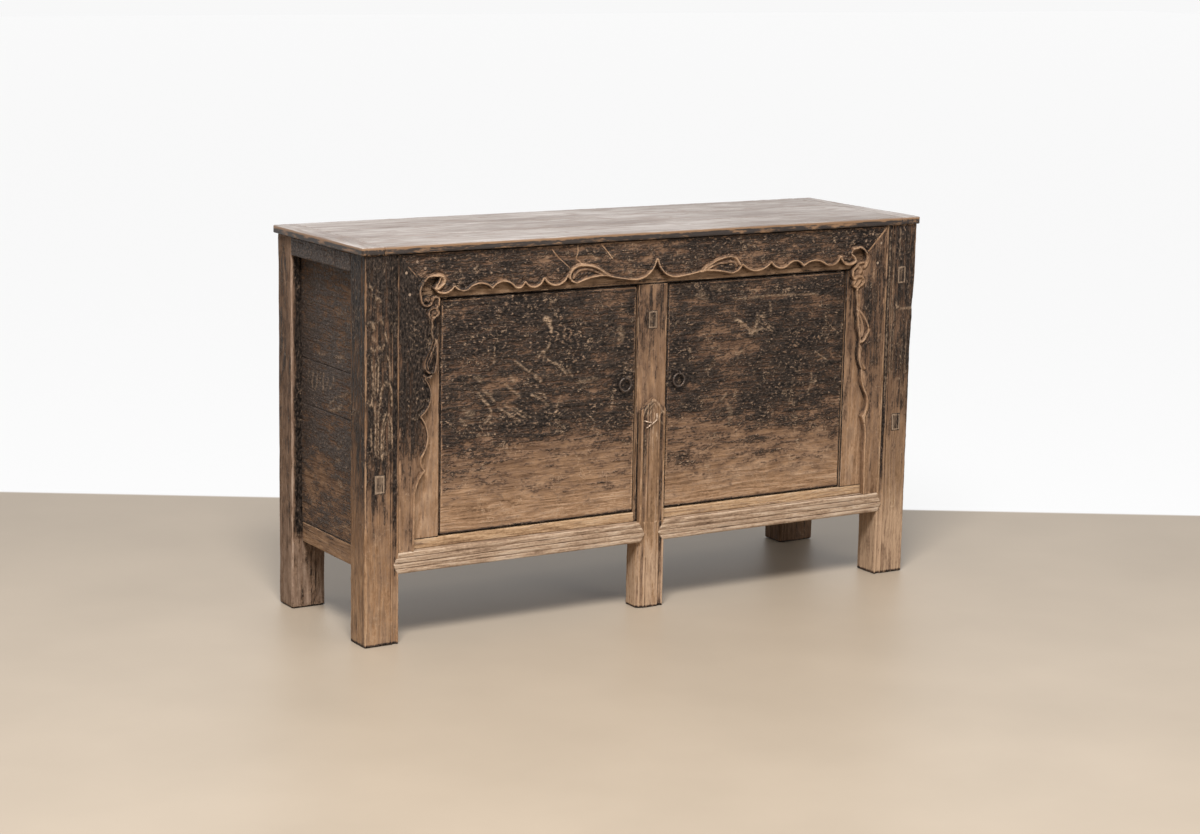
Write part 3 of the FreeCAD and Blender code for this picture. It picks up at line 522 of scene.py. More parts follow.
# Raised grain on the lap, as (x, z) points.
lap_grain = [
    ([(-27, 440), (-20, 456), (-10, 467), (0, 473), (8, 466), (17, 456), (26, 442)], 2.0, 0.8),
    ([(-19, 438), (-14, 451), (-6, 461), (0, 464), (5, 458)], 1.7, 0.8),
    ([(-11, 440), (-8, 450), (-2, 456)], 1.6, 0.7),
    ([(-2, 456), (1, 440), (-1, 418), (-3, 388), (-3, 350)], 1.6, 0.7),
    ([(-9, 436), (-10, 410), (-9, 370)], 1.5, 0.5),
    ([(24, 446), (16, 440), (13, 431), (17, 423), (24, 417)], 1.7, 0.8), ([(8, 400), (9, 384)], 2.4, 0.6),
    ([(-21, 396), (-20, 350), (-21, 310)], 1.5, 0.5), ([(14, 300), (15, 262), (13, 230)], 1.5, 0.4),
]
for name, x, back, z0, z1 in (("centre_foot", foot_half / 1000, hi.y, 0, rail_top),
                              ("centre_lap", lap_half / 1000, head_lo.y, rail_top - 0.004, hi.z)):
    leg = plank(name, lo, hi, 2.5, (1.2, 5, 4), x=(-x, x), y=(lo.y, back), z=(z0, z1))
    worn(leg, 50, 1.4)
    worn(leg, 12, 1.4, 5)
    spots = points_of(leg)
    wear_and_painted_light = beaded(spots, x * 1000 - np.abs(spots[:, 0]), lo.y, 2.4, 0.2)
    keep(leg, "carved", wear_and_painted_light - dark_floor_line(spots))
    if name == "centre_lap":
        # The end slopes down from the tip to both sides.
        fall = unit((spots[:, 2] - 440) / 43)
        spots[:, 2] -= fall * (np.abs(spots[:, 0]) / lap_half * 26 + 5)
    else:
        # Feet have worn the left corner away.
        worn_corner = unit(1 - (spots[:, 0] + foot_half + spots[:, 1] - lo.y * 1000) / 11)
        worn_corner *= unit((158 - spots[:, 2]) / 12)
        spots[:, :2] += worn_corner[:, None] * 5.5
    set_points(leg, spots)
    if name == "centre_lap":
        scratch(leg, lap_grain, lo.y)
    shade()
    lacquered_elm(leg, 2, 27.0, (150, 500), (-0.3, 0.25), 4, 0.3, ("#4c3828", "#886a4f", "#a98d73"), bleach=0.3)
    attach(leg, "case")
    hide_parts("centre_leg")


# Bent nail
# Two runs of old forged iron: a nail driven into the lap and hammered over, and its clenched end. Hands and
# cloths have rubbed it bright.
def pick(piece):
    # Selects one piece and makes it the active one.
    bpy.ops.object.select_all(action="DESELECT")
    piece.select_set(True)
    bpy.context.view_layer.objects.active = piece


def iron(name, pits, detail, most, colours, rough, metallic):
    # Old iron with brown rust in its pits, which are as wide as given in millimetres.
    made, tree, shader, place = material(name)
    rust = add(tree, "TexNoise", {"Vector": place, "Scale": 1000 / pits, "Detail": detail})
    rust = add(tree, "MapRange", (rust, 0.4, most))
    bright, brown = [linear(colour) for colour in colours]
    colour = add(tree, "Mix", {0: rust, 6: bright, 7: brown}, out=2, data_type="RGBA")
    rough = add(tree, "MapRange", (rust, 0, 1, *rough))
    normal = add(tree, "Bump", {"Strength": 0.6, "Distance": 0.0004, "Height": rust})
    feed(tree, shader, {"Base Color": colour, "Roughness": rough, "Metallic": metallic, "Normal": normal})
    return made


path = bpy.data.curves.new("bent_nail", "CURVE")
path.dimensions = "3D"
path.bevel_depth = 0.0019
path.bevel_resolution = 2
path.use_fill_caps = True
for bend in ([(8, -208.5, 444), (6.5, -212.5, 440), (6, -214, 433), (5, -214.2, 428), (-3, -214.2, 423),
              (-12, -214, 417.5), (-20, -213.6, 413)],
             [(-24, -206.5, 428), (-21, -212.4, 427), (-14, -213.2, 424.8), (-6, -213, 423.6)]):
    run = path.splines.new("NURBS")
    run.points.add(len(bend) - 1)
    for point, (x, y, z) in zip(run.points, bend):
        point.co = (x / 1000, y / 1000, z / 1000, 1)
    run.use_endpoint_u = True
    run.order_u = 3
nail = bpy.data.objects.new("bent_nail", path)
bpy.context.scene.collection.objects.link(nail)
pick(nail)
bpy.ops.object.convert(target="MESH")
bpy.ops.object.shade_smooth()
# Rubbed iron: pale tan metal with brown rust in its pits.
nail.data.materials.append(iron("rubbed_iron", 4, 3, 0.62, ("#b7a08a", "#6b5443"), (0.4, 0.7), 0.4))
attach(nail, "case")


# Carved apron
# Three thin boards mitred round the doors, scalloped along the inner edge and carved in low relief: a
# raised bead follows the edge and curls into scrolls and leaves. Handling has worn the ridges to bare wood; their
# crests also carry a painted highlight, and the grooves, cuts and hollows carry painted shade.
# Lines of the carving as (x, z) points, half width, rise and how far it is worn pale; on raised lines that paleness is
# partly a painted highlight, and a negative one is painted shade in a cut. The mitres and the left scroll run over two
# boards.
left_mitre = ([(-575, 764), (-594, 784), (-614, 805)], 1.5, 0.5, 0.9)
right_mitre = ([(583, 776), (608, 801), (633, 827)], 1.7, 0.5, 1.0)
left_scroll = ([(-575, 764), (-568, 770), (-560, 775), (-551, 779.5), (-542, 782), (-534, 780), (-529, 773),
                (-530, 766), (-536, 760), (-544, 755), (-551, 756)], 3.4, 3.2, 1.0)
left_carving = [
    ([(-553, 735), (-553, 705), (-549, 680)], 8.0, 0.8, 0.3), ([(-551, 648), (-559, 615), (-564, 592)], 8.0, 0.8, 0.3),
    left_mitre, left_scroll,
    ([(-575, 764), (-580, 756), (-583, 746), (-584, 737), (-582, 728), (-577, 722), (-569, 720), (-562, 722),
      (-558, 728)], 3.0, 2.8, 0.9),
    ([(-572, 734), (-568, 731), (-565, 735), (-569, 738)], 4.5, 2.6, 0.9),
    ([(-566, 742), (-560, 742), (-555, 738)], 4.0, 2.2, 0.7),
    ([(-557, 731), (-553, 737), (-545, 737), (-541, 730), (-541, 721), (-546, 717)], 3.2, 2.4, 0.8),
    ([(-565, 702), (-563, 710), (-556, 714), (-547, 713), (-541, 708), (-540, 700), (-545, 694), (-552, 694),
      (-557, 698)], 2.8, 2.6, 0.9),
    ([(-553, 704), (-551, 704)], 4.5, 2.0, 0.8),
    ([(-566, 702), (-563, 694), (-559, 685), (-556, 675), (-555, 662), (-556, 648), (-561, 630), (-569, 614),
      (-574, 602), (-574, 592), (-570, 583), (-562, 577)], 2.8, 2.6, 0.8),
    ([(-553, 691), (-546, 686), (-542, 678), (-541, 668)], 2.8, 2.0, 0.7),
    ([(-544, 651), (-549, 640), (-556, 624), (-564, 608), (-569, 596), (-566, 586)], 1.8, 2.2, 0.9),
    ([(-544, 651), (-546, 638), (-553, 622), (-559, 608), (-563, 597)], 1.6, 1.8, 0.7),
    ([(-544, 648), (-544, 630), (-546, 610), (-546, 592), (-550, 582), (-557, 577)], 2.2, 2.0, 0.7),
    ([(-575, 572), (-568, 564), (-562, 556), (-556, 547)], 2.4, 2.0, 0.7),
    ([(-562, 566), (-554, 566), (-546, 564)], 2.2, 2.0, 1.0),
]
top_carving = [
    ([(-203, 765), (-180, 770), (-150, 765)], 7.0, 0.6, 0.35), ([(148, 762), (180, 774), (204, 771)], 6.5, 0.6, 0.35),
    left_mitre, right_mitre,
    ([(-224, 757), (-223, 766), (-219, 774), (-212, 780), (-200, 784), (-186, 784), (-172, 782), (-158, 778),
      (-146, 772), (-134, 764), (-122, 758)], 3.2, 3.0, 0.9),
    ([(-213, 758), (-208, 767), (-198, 773), (-183, 775), (-167, 772), (-152, 766), (-140, 760)], 2.0, 1.6, 0.6),
    ([(-206, 757), (-196, 766)], 1.5, -1.4, -0.6), ([(-198, 756), (-186, 769)], 1.5, -1.4, -0.6),
    ([(-187, 757), (-175, 769)], 1.5, -1.4, -0.6), ([(-176, 758), (-164, 768)], 1.5, -1.4, -0.6),
    ([(118, 751), (132, 763), (146, 770), (160, 777), (178, 782), (194, 783.5), (207, 780), (214, 773),
      (221, 764)], 3.2, 3.0, 0.9),
    ([(124, 752), (137, 759), (150, 765), (164, 769), (182, 769), (197, 771), (208, 768), (213, 761)], 2.0, 1.6, 0.7),
    ([(180, 767), (196, 755)], 1.4, -1.4, -0.6), ([(190, 768), (205, 757)], 1.4, -1.4, -0.6),
    ([(168, 766), (184, 754)], 1.4, -1.4, -0.6),
    ([(-268, 823), (-255, 808), (-240, 795), (-222, 780)], 1.3, -0.8, 0.9),
    ([(-204, 827), (-204, 812), (-208, 801), (-198, 793), (-190, 785)], 1.3, -0.8, 0.9),
    ([(-145, 828), (-135, 818), (-125, 807), (-115, 795)], 1.4, -0.8, 0.9),
    left_scroll,
    ([(537, 783), (546, 783.5), (557, 780), (567, 775), (575, 767), (579, 758)], 3.2, 3.0, 0.9),
    ([(503, 757), (512, 751), (525, 747), (538, 748), (546, 753), (546, 760), (538, 766)], 3.0, 2.2, 0.7),
]
right_carving = [
    ([(557, 745), (560, 725), (556, 700)], 11.0, 0.8, 0.45), ([(550, 690), (554, 665), (553, 645)], 8.0, 0.8, 0.4),
    ([(558, 632), (566, 605), (572, 585)], 12.0, 0.9, 0.42), ([(566, 552), (568, 530), (574, 508)], 8.0, 0.8, 0.45),
    ([(580, 485), (582, 465), (588, 440), (592, 415), (590, 390)], 9.0, 0.6, 0.35),
    right_mitre,
    ([(579, 760), (580, 752), (577, 744), (571, 738)], 3.4, 3.0, 1.0),
    ([(542, 737), (550, 741), (558, 738), (563, 731), (560, 724)], 3.2, 2.4, 0.7),
    ([(546, 712), (555, 716), (565, 715), (572, 707), (570, 698), (562, 696)], 3.0, 2.6, 0.7),
    ([(543, 690), (549, 693), (556, 700), (562, 707)], 3.0, 2.6, 0.9),
    ([(548, 676), (553, 688), (562, 695), (571, 703)], 2.0, 2.2, 0.8),
    ([(552, 676), (551, 662), (549, 648), (545, 637)], 2.6, 2.4, 0.8),
    ([(560, 672), (562, 656), (561, 640)], 2.2, 2.0, 0.7),
    ([(552, 642), (562, 636), (571, 627), (579, 616), (586, 604), (590, 593), (589, 582), (583, 572),
      (574, 564), (563, 564)], 2.8, 2.8, 0.8),
    ([(552, 638), (550, 622), (552, 606), (556, 590), (561, 575)], 2.6, 2.2, 0.8),
    ([(557, 636), (566, 620), (573, 603), (575, 588), (571, 576)], 2.0, 2.0, 0.7),
    ([(592, 590), (584, 580), (577, 568), (568, 562)], 2.0, 2.2, 0.9),
    ([(563, 556), (569, 548), (568, 536), (570, 523), (575, 511), (583, 500)], 2.8, 2.4, 0.8),
    ([(572, 492), (572, 476), (575, 460), (582, 447), (591, 434), (597, 418), (595, 402), (588, 387),
      (588, 372)], 3.0, 2.4, 0.7),
]
# Hollows in the scrolls: centre, radius and depth. They are also painted darker, as painted shade.
hollows = [((-543, 771), 9, 4.5), ((-566, 750), 12, 3.5), ((-556, 760), 9, 3.5), ((556, 771), 8, 4.0),
           ((567, 766), 7, 3.5), ((-568, 548), 6, 1.5), ((-550, 630), 4, 1.5), ((547, 686), 5, 2.0),
           ((544, 655), 4, 1.5)]
# On wide faces the lacquer comes off in crusts rather than in streaks.
crusty = (1.5, 1.1, 1.5, 0.9, 1.2)

# The carved edge is read from the boards themselves: edges of the back face, without the straight sides,
# the mitres and the peg holes.
apron_lo, apron_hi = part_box("top_apron")
carved_starts = []
carved_ends = []
apron_boards = {}
corner_pegs = ((41, 16), (60, 31), (16, 38), (24, 84))
for node in ("top_apron", "left_apron", "right_apron"):
    board = bpy.data.objects.new("carved_" + node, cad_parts[node].data.copy())
    bpy.context.scene.collection.objects.link(board)
    pick(board)
    bpy.ops.object.mode_set(mode="EDIT")
    bpy.ops.mesh.select_all(action="SELECT")
    bpy.ops.mesh.remove_doubles(threshold=1e-5)
    bpy.ops.object.mode_set(mode="OBJECT")
    apron_boards[node] = board
    spots = points_of(board)
    backs = {}
    for face in board.data.polygons:
        if face.normal.y > 0.9:
            for pair in face.edge_keys:
                backs[pair] = backs.get(pair, 0) + 1
    for (a, b), times in backs.items():
        ends = spots[[a, b]][:, [0, 2]]
        along = post_inner * 1000 - np.abs(ends[:, 0])
        down = apron_hi.z * 1000 - ends[:, 1]
        straight = (along < 0.5).all() or (down < 0.5).all() or (ends[:, 1] < rail_top * 1000 + 0.5).all()
        mitre = (np.abs(along - down) < 0.5).all()
        peg_hole = any((np.hypot(along - u, down - v) < 4).all() for u, v in corner_pegs)
        if times == 1 and not straight and not mitre and not peg_hole:
            carved_starts.append(ends[0])
            carved_ends.append(ends[1])

for node, carving in (("top_apron", top_carving), ("left_apron", left_carving), ("right_apron", right_carving)):
    board = apron_boards[node]
    pick(board)
    remesh = board.modifiers.new("remesh", "REMESH")
    remesh.mode = "VOXEL"
    remesh.voxel_size = 0.00125
    bpy.ops.object.modifier_apply(modifier="remesh")
    spots = points_of(board)
    face = spots[:, [0, 2]]
    # The bead along the edge, with a groove inside it: its rise in millimetres, how pale its crest is, worn bare
    # and with a painted highlight, and how pale its flanks are, with painted shade in the groove.
    from_edge = distance(face, carved_starts, carved_ends)
    bead_rise = 3.0
    rise = bead_rise * unit(1 - ((from_edge - 2.7) / 3.1) ** 2)
    crest_wear_and_highlight = unit(rise / bead_rise) ** 3 * 0.85
    flank = 0.25 * unit(1.5 - from_edge / 5.5)
    groove = np.exp(-((from_edge - 8.2) / 2.8) ** 2)
    rise -= 2.2 * groove
    flank -= 0.4 * groove
    for line, half, up, tone in carving:
        near, off = beside(face, line)
        profile = unit(1 - (off / half / 1.25) ** 2)
        if up > 1:
            # A raised line with a groove cut beside it, with painted shade in the groove.
            groove = np.exp(-((off - half * 1.25 - 2) / 2) ** 2)
            rise[near] = np.where(profile > 0, np.maximum(rise[near], 1.2 * up * profile ** 0.7),
                                  rise[near] - 1.6 * groove)
            crest_wear_and_highlight[near] = np.maximum(crest_wear_and_highlight[near], 0.95 * tone * profile ** 2.5)
            flank[near] = np.maximum(flank[near], 0.45 * unit(1.6 - off / (half * 1.25 + 3)) - 0.25 * groove)
        else:
            # A leaf's soft swelling, or a cut, which a negative paleness paints dark as painted shade.
            rise[near] += up * profile
            flank[near] = np.where(profile > 0.05, tone * profile, flank[near])
    pale = np.maximum(crest_wear_and_highlight, flank)
    # Each hollow is sunk and painted darker, as painted shade.
    for centre, radius, depth in hollows:
        off = np.hypot(*(face - centre).T) / radius
        dip = unit(1 - off ** 2) * unit(1 - unit(pale) * 1.5)
        rise -= depth * dip
        pale -= 1.2 * dip
    ground_depth, carved_from = 1.6, -205.0
    front = unit((carved_from - spots[:, 1]) / 2.0)
    spots[:, 1] = spots[:, 1] * (1 - front) + (apron_lo.y * 1000 + ground_depth - rise) * front
    set_points(board, spots)
    keep(board, "carved", pale * front)
    # Crests are rubbed pale, with a painted highlight, more in some places than in others.
    wear_and_painted_light = 0.5 + 0.25 * np.sin(face[:, 0] / 21 + 1) + 0.2 * np.sin(face[:, 1] / 17)
    keep(board, "scratched", unit((crest_wear_and_highlight - 0.5) / 0.4) * wear_and_painted_light * front)
    smooth = board.modifiers.new("smooth", "SMOOTH")
    smooth.iterations = 2
    bpy.ops.object.modifier_apply(modifier="smooth")
    # The flat back, which nobody sees, is thinned out.
    behind = board.vertex_groups.new(name="behind")
    behind.add(np.nonzero(spots[:, 1] > apron_hi.y * 1000 - 0.8)[0].tolist(), 1.0, "REPLACE")
    thin = board.modifiers.new("thin", "DECIMATE")
    thin.vertex_group = "behind"
    thin.ratio = 0.55
    bpy.ops.object.modifier_apply(modifier="thin")
    board.vertex_groups.clear()
    bpy.ops.object.shade_smooth()
    if node == "top_apron":
        lacquered_elm(board, 0, 31.0, (700, 800), (0.42, 0.56), 4, 0.65, joint_dirt_and_shade=0.8, shares=crusty)
    elif node == "left_apron":
        lacquered_elm(board, 2, 35.0, (280, 560), (0.05, 0.95), 4, 0.5, joint_dirt_and_shade=0.8)
    else:
        lacquered_elm(board, 2, 37.0, (280, 560), (0.05, 0.5), 4, 0.5, joint_dirt_and_shade=0.8)
    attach(board, "case")
    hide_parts(node)


# Doors
# Each door is one wide elm plank with the grain across, hung on wooden pivots. Lacquer covers the upper
# two thirds, scarred and flecked; the lower third is rubbed down to honey-coloured wood.
# Scratches, gouges and rubs on the doors, as (x, z) points.
door_scars = {
    "left": [
        ([(-272, 670), (-266, 666)], 6.5, 0.9), ([(-266, 662), (-259, 650), (-259, 642)], 3.5, 0.7),
        ([(-262, 617), (-268, 606), (-276, 598)], 2.6, 0.7), ([(-290, 588), (-280, 600)], 2.2, 0.5),
        ([(-348, 584), (-322, 566), (-300, 552)], 2.0, 0.5), ([(-328, 568), (-302, 553)], 1.8, 0.4),
        ([(-298, 549), (-284, 536)], 4.0, 0.5), ([(-306, 507), (-284, 498), (-264, 480)], 2.4, 0.6),
        ([(-296, 510), (-276, 506), (-270, 498)], 2.2, 0.5), ([(-438, 522), (-424, 506), (-414, 496)], 2.8, 0.6),
        ([(-424, 526), (-408, 512), (-398, 502)], 2.4, 0.5), ([(-388, 486), (-362, 470), (-334, 452)], 2.2, 0.6),
        ([(-372, 490), (-346, 474), (-318, 456)], 2.0, 0.5), ([(-352, 486), (-330, 472), (-306, 458)], 1.8, 0.4),
        ([(-412, 492), (-405, 478), (-411, 463), (-423, 453)], 2.4, 0.5), ([(-470, 484), (-452, 478)], 7.0, 0.35),
        ([(-478, 466), (-450, 460)], 4.0, 0.35), ([(-266, 582), (-240, 566), (-218, 546)], 2.2, 0.6),
        ([(-248, 574), (-232, 560)], 2.0, 0.5), ([(-214, 556), (-204, 540)], 2.2, 0.4),
        ([(-190, 526), (-164, 527), (-142, 531)], 3.6, 0.35), ([(-84, 634), (-78, 622), (-82, 612)], 7.0, 0.4),
        ([(-358, 552), (-350, 540)], 3.5, 0.5), ([(-372, 536), (-352, 520), (-336, 508)], 2.4, 0.45),
        ([(-232, 500), (-240, 480), (-244, 462)], 2.0, 0.4), ([(-440, 556), (-432, 550)], 5.0, 0.4),
    ],
    "right": [
        ([(216, 686), (250, 682.5), (300, 686), (350, 684.5), (400, 683), (452, 681)], 1.8, 0.6),
        ([(222, 637), (236, 632), (250, 622), (262, 612), (272, 605)], 3.0, 0.75),
        ([(284, 641), (283, 626), (277, 611)], 2.8, 0.7), ([(268, 606), (280, 605)], 6.0, 0.6),
        ([(286, 609), (300, 612)], 2.4, 0.5), ([(312, 614), (326, 604)], 2.0, 0.4),
        ([(299, 640), (301, 640)], 4.5, 0.6), ([(318, 668), (321, 650)], 3.0, 0.45),
        ([(231, 557), (246, 565)], 2.2, 0.5), ([(450, 547), (470, 534), (486, 525)], 1.7, 0.6),
        ([(432, 455), (443, 478), (440, 498)], 2.2, 0.45), ([(192, 455), (204, 468)], 2.4, 0.45),
        ([(100, 578), (103, 574)], 4.0, 0.5), ([(128, 702), (140, 692)], 8.0, 0.25),
        ([(160, 714), (192, 712)], 7.0, 0.2), ([(212, 436), (218, 420), (214, 404)], 6.0, 0.25),
    ],
}
for side, hand in both:
    lo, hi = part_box(side + "_door")
    door = plank(side + "_door_plank", lo, hi, 2.2, (2.6, 6, 2.6))
    worn(door, 90, 1.0)
    worn(door, 9, 0.9, 4)
    scratch(door, door_scars[side], lo.y)
    spots = points_of(door)
    # Painted shade: black is painted in the gap below each door and in the wide gap beside the right one. The inside is
    # bare.
    painted_gap_shade = unit(2 - (spots[:, 2] - lo.z * 1000) / 3)
    if hand > 0:
        painted_gap_shade = np.maximum(painted_gap_shade, unit(2 - (hi.x * 1000 - spots[:, 0]) / 1.8))
    inside = unit((spots[:, 1] - hi.y * 1000 + 5) / 3)
    keep(door, "carved", inside - 1.6 * painted_gap_shade * (1 - inside))
    shade()
    # The door is blacker in a disc round the pull.
    ring_lo, ring_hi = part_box(side + "_pull_ring")
    pull = (ring_lo + ring_hi) * 500
    lacquered_elm(door, 0, 41.0 + 3 * hand, (215, 450), (-0.35, 0.66), 7, 0.7,
                  spots=[((pull.x, -194, pull.z), 34, 0.8)], joint_dirt_and_shade=3.2, shares=crusty)
    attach(door, side + "_door")
    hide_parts(side + "_door")


# Iron ring pulls
# A forged iron ring hangs in an eye whose shank goes through the door and is clinched behind it. The
# iron is black-brown and dull from hands and rust.
# Forged iron: dull grey-black with brown rust, uneven under the hand.
forged_iron = iron("forged_iron", 3, 4, 0.7, ("#4a4440", "#5a4638"), (0.32, 0.6), 0.7)
for side in ("left", "right"):
    lo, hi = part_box(side + "_pull_ring")
    bpy.ops.object.select_all(action="DESELECT")
    bpy.ops.mesh.primitive_torus_add(location=(lo + hi) / 2, rotation=(math.pi / 2, 0, 0), major_segments=56,
                                     minor_segments=14, major_radius=0.0145, minor_radius=0.0022)
    ring = bpy.context.object
    ring.name = ring.data.name = side + "_iron_ring"
    bpy.ops.object.transform_apply(location=True, rotation=True, scale=True)
    worn(ring, 6, 0.35)
    bpy.ops.object.shade_smooth()
    ring.data.materials.append(forged_iron)
    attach(ring, side + "_ring")
    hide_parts(side + "_pull_ring")
    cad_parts[side + "_pull_eye"].data.materials.clear()
    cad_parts[side + "_pull_eye"].data.materials.append(forged_iron)


# Top
# Three long boards tongued into an end cap at each end, once lacquered and now bare and greyed, with
# black on the edges, partly lacquer left there and partly painted shade under the nose. Hands and cloths have polished
# it to a soft sheen.
def weathered_elm(piece, grain, seed):
    # Bare elm gone grey with age and polished by use: pale mauve-grey with brown grain, tan arrises,
    # black on the edges below, remnants of lacquer and painted shade.
    finish, tree, shader, place = material(piece.name + "_weathered_elm")
    shifted = add(tree, "VectorMath ADD", (place, (seed * 0.37, seed * 0.53, seed * 0.71)))
    figure, streak, patch, fibre, chips = along_grain(tree, shifted, grain, (
        (900, 110, 1.5, 0.5, 0.3), (190, 11, 5, 0.65, 0), (300, 90, 3, 0.5, 0), (60, 3.2, 3, 0.62, 0),
        (40, 8, 5, 0.65, 0)))
    tone = add(tree, "Math MULTIPLY_ADD", (streak, 1.3, patch))
    tone = add(tree, "Math MULTIPLY_ADD", (fibre, 1.2, tone))
    dark = add(tree, "MapRange", (tone, 1.4, 1.8))
    pale = add(tree, "MapRange", (tone, 1.75, 2.15))
    rings = add(tree, "Math MULTIPLY", (figure, 110.0))
    rings = add(tree, "Math SINE", (rings,))
    rings = add(tree, "MapRange", (rings, 0.3, 1.0, 0, 0.45))
    stain = add(tree, "TexNoise", {"Vector": shifted, "Scale": 1000 / 38, "Detail": 4, "Roughness": 0.6})
    stain = add(tree, "MapRange", (stain, 0.58, 0.7, 0, 0.6))
    lines = add(tree, "Math MAXIMUM", (rings, stain))
    # The height tells the upper face from the rubbed arris and the edge below, black with lacquer left on it and with
    # painted shade under the nose.
    level = add(tree, "SeparateXYZ", {"Vector": place}, out="Z")
    side = add(tree, "MapRange", (level, 0.8475, 0.8435))
    tan = add(tree, "MapRange", (level, 0.8495, 0.8475))
    # Black on the lower edge: lacquer left there, and painted shade under the nose.
    black = add(tree, "Math MULTIPLY", (side, chips))
    black = add(tree, "MapRange", (black, 0.35, 0.48))
    colour = linear("#665850")
    for share, over in ((dark, "#8c827b"), (pale, "#aea6a1"), (lines, "#6a5547"), (tan, "#7a5c41"), (black, "#231a15")):
        colour = add(tree, "Mix", {0: share, 6: colour, 7: linear(over)}, out=2, data_type="RGBA")
    rough = add(tree, "MapRange", (streak, 0, 1, 0.38, 0.6))
    relief = add(tree, "Math MULTIPLY_ADD", (fibre, 0.8, streak))
    relief = add(tree, "Math MULTIPLY_ADD", (lines, -0.4, relief))
    normal = add(tree, "Bump", {"Strength": 0.6, "Distance": 0.0007, "Height": relief})
    feed(tree, shader, {"Base Color": colour, "Roughness": rough, "Normal": normal})
    piece.data.materials.clear()
    piece.data.materials.append(finish)


cap_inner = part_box("right_end_cap")[0].x
for count, name in enumerate(("front", "middle", "back")):
    lo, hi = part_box("top_board_" + name)
    board = plank("top_" + name + "_board", lo, hi, 2, (8, 6, 4), x=(-cap_inner, cap_inner))
    worn(board, 120, 1.0)
    worn(board, 16, 1.6, 4)
    shade()
    weathered_elm(board, 0, 51.0 + count)
    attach(board, "case")
    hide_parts("top_board_" + name)
for side in ("left", "right"):
    lo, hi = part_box(side + "_end_cap")
    cap = plank(side + "_end_cap_board", lo, hi, 2.5, (5, 5, 4))
    worn(cap, 80, 1.0)
    worn(cap, 14, 1.6, 4)
    shade()
    weathered_elm(cap, 1, 57.0 + len(side))
    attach(cap, "case")
    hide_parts(side + "_end_cap")


# Sides
# Rails between the posts hold three horizontal elm boards on each side, tongued into them. The lacquer is
# dull and scarred by use; its black is drawn greyer here, a painted sheen.
# Greyer blacks for the sides: a painted sheen on the lacquer.
side_blacks_with_painted_sheen = ("#332b27", "#4f453f")
# Marks on the left side as (y, z) points: a comb of knife strokes on the middle board, drag marks and rubs.
side_scars = [
    ([(-14, 546), (-8, 530), (6, 518)], 2.2, 0.42), ([(16, 547), (16, 530), (24, 514)], 2.0, 0.36),
    ([(36, 547), (40, 525), (38, 506)], 2.4, 0.5), ([(52, 546), (58, 526)], 2.2, 0.36),
    ([(68, 546), (70, 522), (80, 505)], 2.4, 0.46), ([(86, 544), (92, 522), (92, 508)], 2.2, 0.4),
    ([(108, 541), (116, 524)], 2.0, 0.36),
    ([(-80, 523), (-60, 514), (-34, 508), (-18, 503)], 2.2, 0.5),
    ([(-52, 494), (-30, 482), (-8, 475), (10, 470)], 2.2, 0.55),
    ([(-50, 485), (-30, 478), (-10, 472)], 2.0, 0.45), ([(-16, 499), (6, 486), (16, 478)], 2.0, 0.45),
    ([(-60, 597), (-40, 594), (-22, 592)], 2.6, 0.5), ([(-50, 586), (-30, 583)], 2.4, 0.42),
    ([(30, 590), (50, 587), (66, 590)], 2.4, 0.45), ([(-75, 693), (-30, 684)], 1.8, 0.35),
    ([(-48, 318), (-36, 322)], 7.0, 0.45), ([(-44, 400), (-34, 396)], 5.0, 0.32),
    ([(-40, 370), (-22, 366)], 4.0, 0.35), ([(-82, 236), (-40, 224), (-5, 214)], 1.8, 0.5),
]
post_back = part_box("left_front_post")[1].y
post_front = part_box("left_back_post")[0].y
for side, hand in both:
    for count, node in enumerate(("_side_top_rail", "_side_bottom_rail")):
        lo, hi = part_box(side + node)
        rail = plank(side + node + "_board", lo, hi, 2.5, (8, 4, 4), y=(post_back, post_front))
        worn(rail, 40, 1.2)
        shade()
        lacquered_elm(rail, 1, 61.0 + hand + count * 4, (140, 400), (-0.1, 0.8), 4, 0.3, joint_dirt_and_shade=2,
                      blacks=side_blacks_with_painted_sheen)
        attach(rail, "case")
        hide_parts(side + node)
    for count, name in enumerate(("lower", "middle", "upper")):
        lo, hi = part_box(side + "_side_board_" + name)
        seam = Vector((0, 0, 0.0004))
        board = plank(side + "_panel_" + name, lo + seam, hi - seam, 1.5, (7, 3, 3))
        worn(board, 60, 1.2)
        if hand < 0:
            scratch(board, side_scars, lo.x, 1)
        # The inside is bare.
        inner = min(abs(lo.x), abs(hi.x)) * 1000
        keep(board, "carved", unit((inner + 5 - np.abs(points_of(board)[:, 0])) / 3))
        shade()
        lacquered_elm(board, 1, 71.0 + hand + count * 3, (150, 420), (0.25, 0.66), 0, 0.25, joint_dirt_and_shade=3, shares=crusty,
                      blacks=side_blacks_with_painted_sheen)
        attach(board, "case")
        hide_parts(side + "_side_board_" + name)


# Back, floor and inner pieces
# Sawn elm boards, rails, battens and pivots that nobody was meant to see, left bare: brown, dusty and rough.
# They keep the shape that they have in the frame, with the arrises broken.
for count, (node, piece) in enumerate(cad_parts.items()):
    if node.startswith(("back_", "floor_")) or "batten" in node or "pivots" in node:
        arris = piece.modifiers.new("arris", "BEVEL")
        arris.width = 0.0012
        arris.segments = 2
        arris.limit_method = "ANGLE"
        lacquered_elm(piece, 0 if "board" in node or "rail" in node else 2, 81.0 + count, (0, 1), (-0.5, -0.5), 3,
                      0.15, ("#473628", "#745b46", "#8c745d"), ("#3f3126", "#5e4b3c"), raised=0.4, joint_dirt_and_shade=2.2)


# Apron pegs
# Whittled elm pegs driven through the corners of the apron. They stand end grain out and have lost all lacquer.
lacquered_elm(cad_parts["apron_pegs"], 2, 91.0, (200, 700), (-0.9, -0.9), 1, 0.2,
              ("#5d4b3d", "#7d6958", "#97826e"))


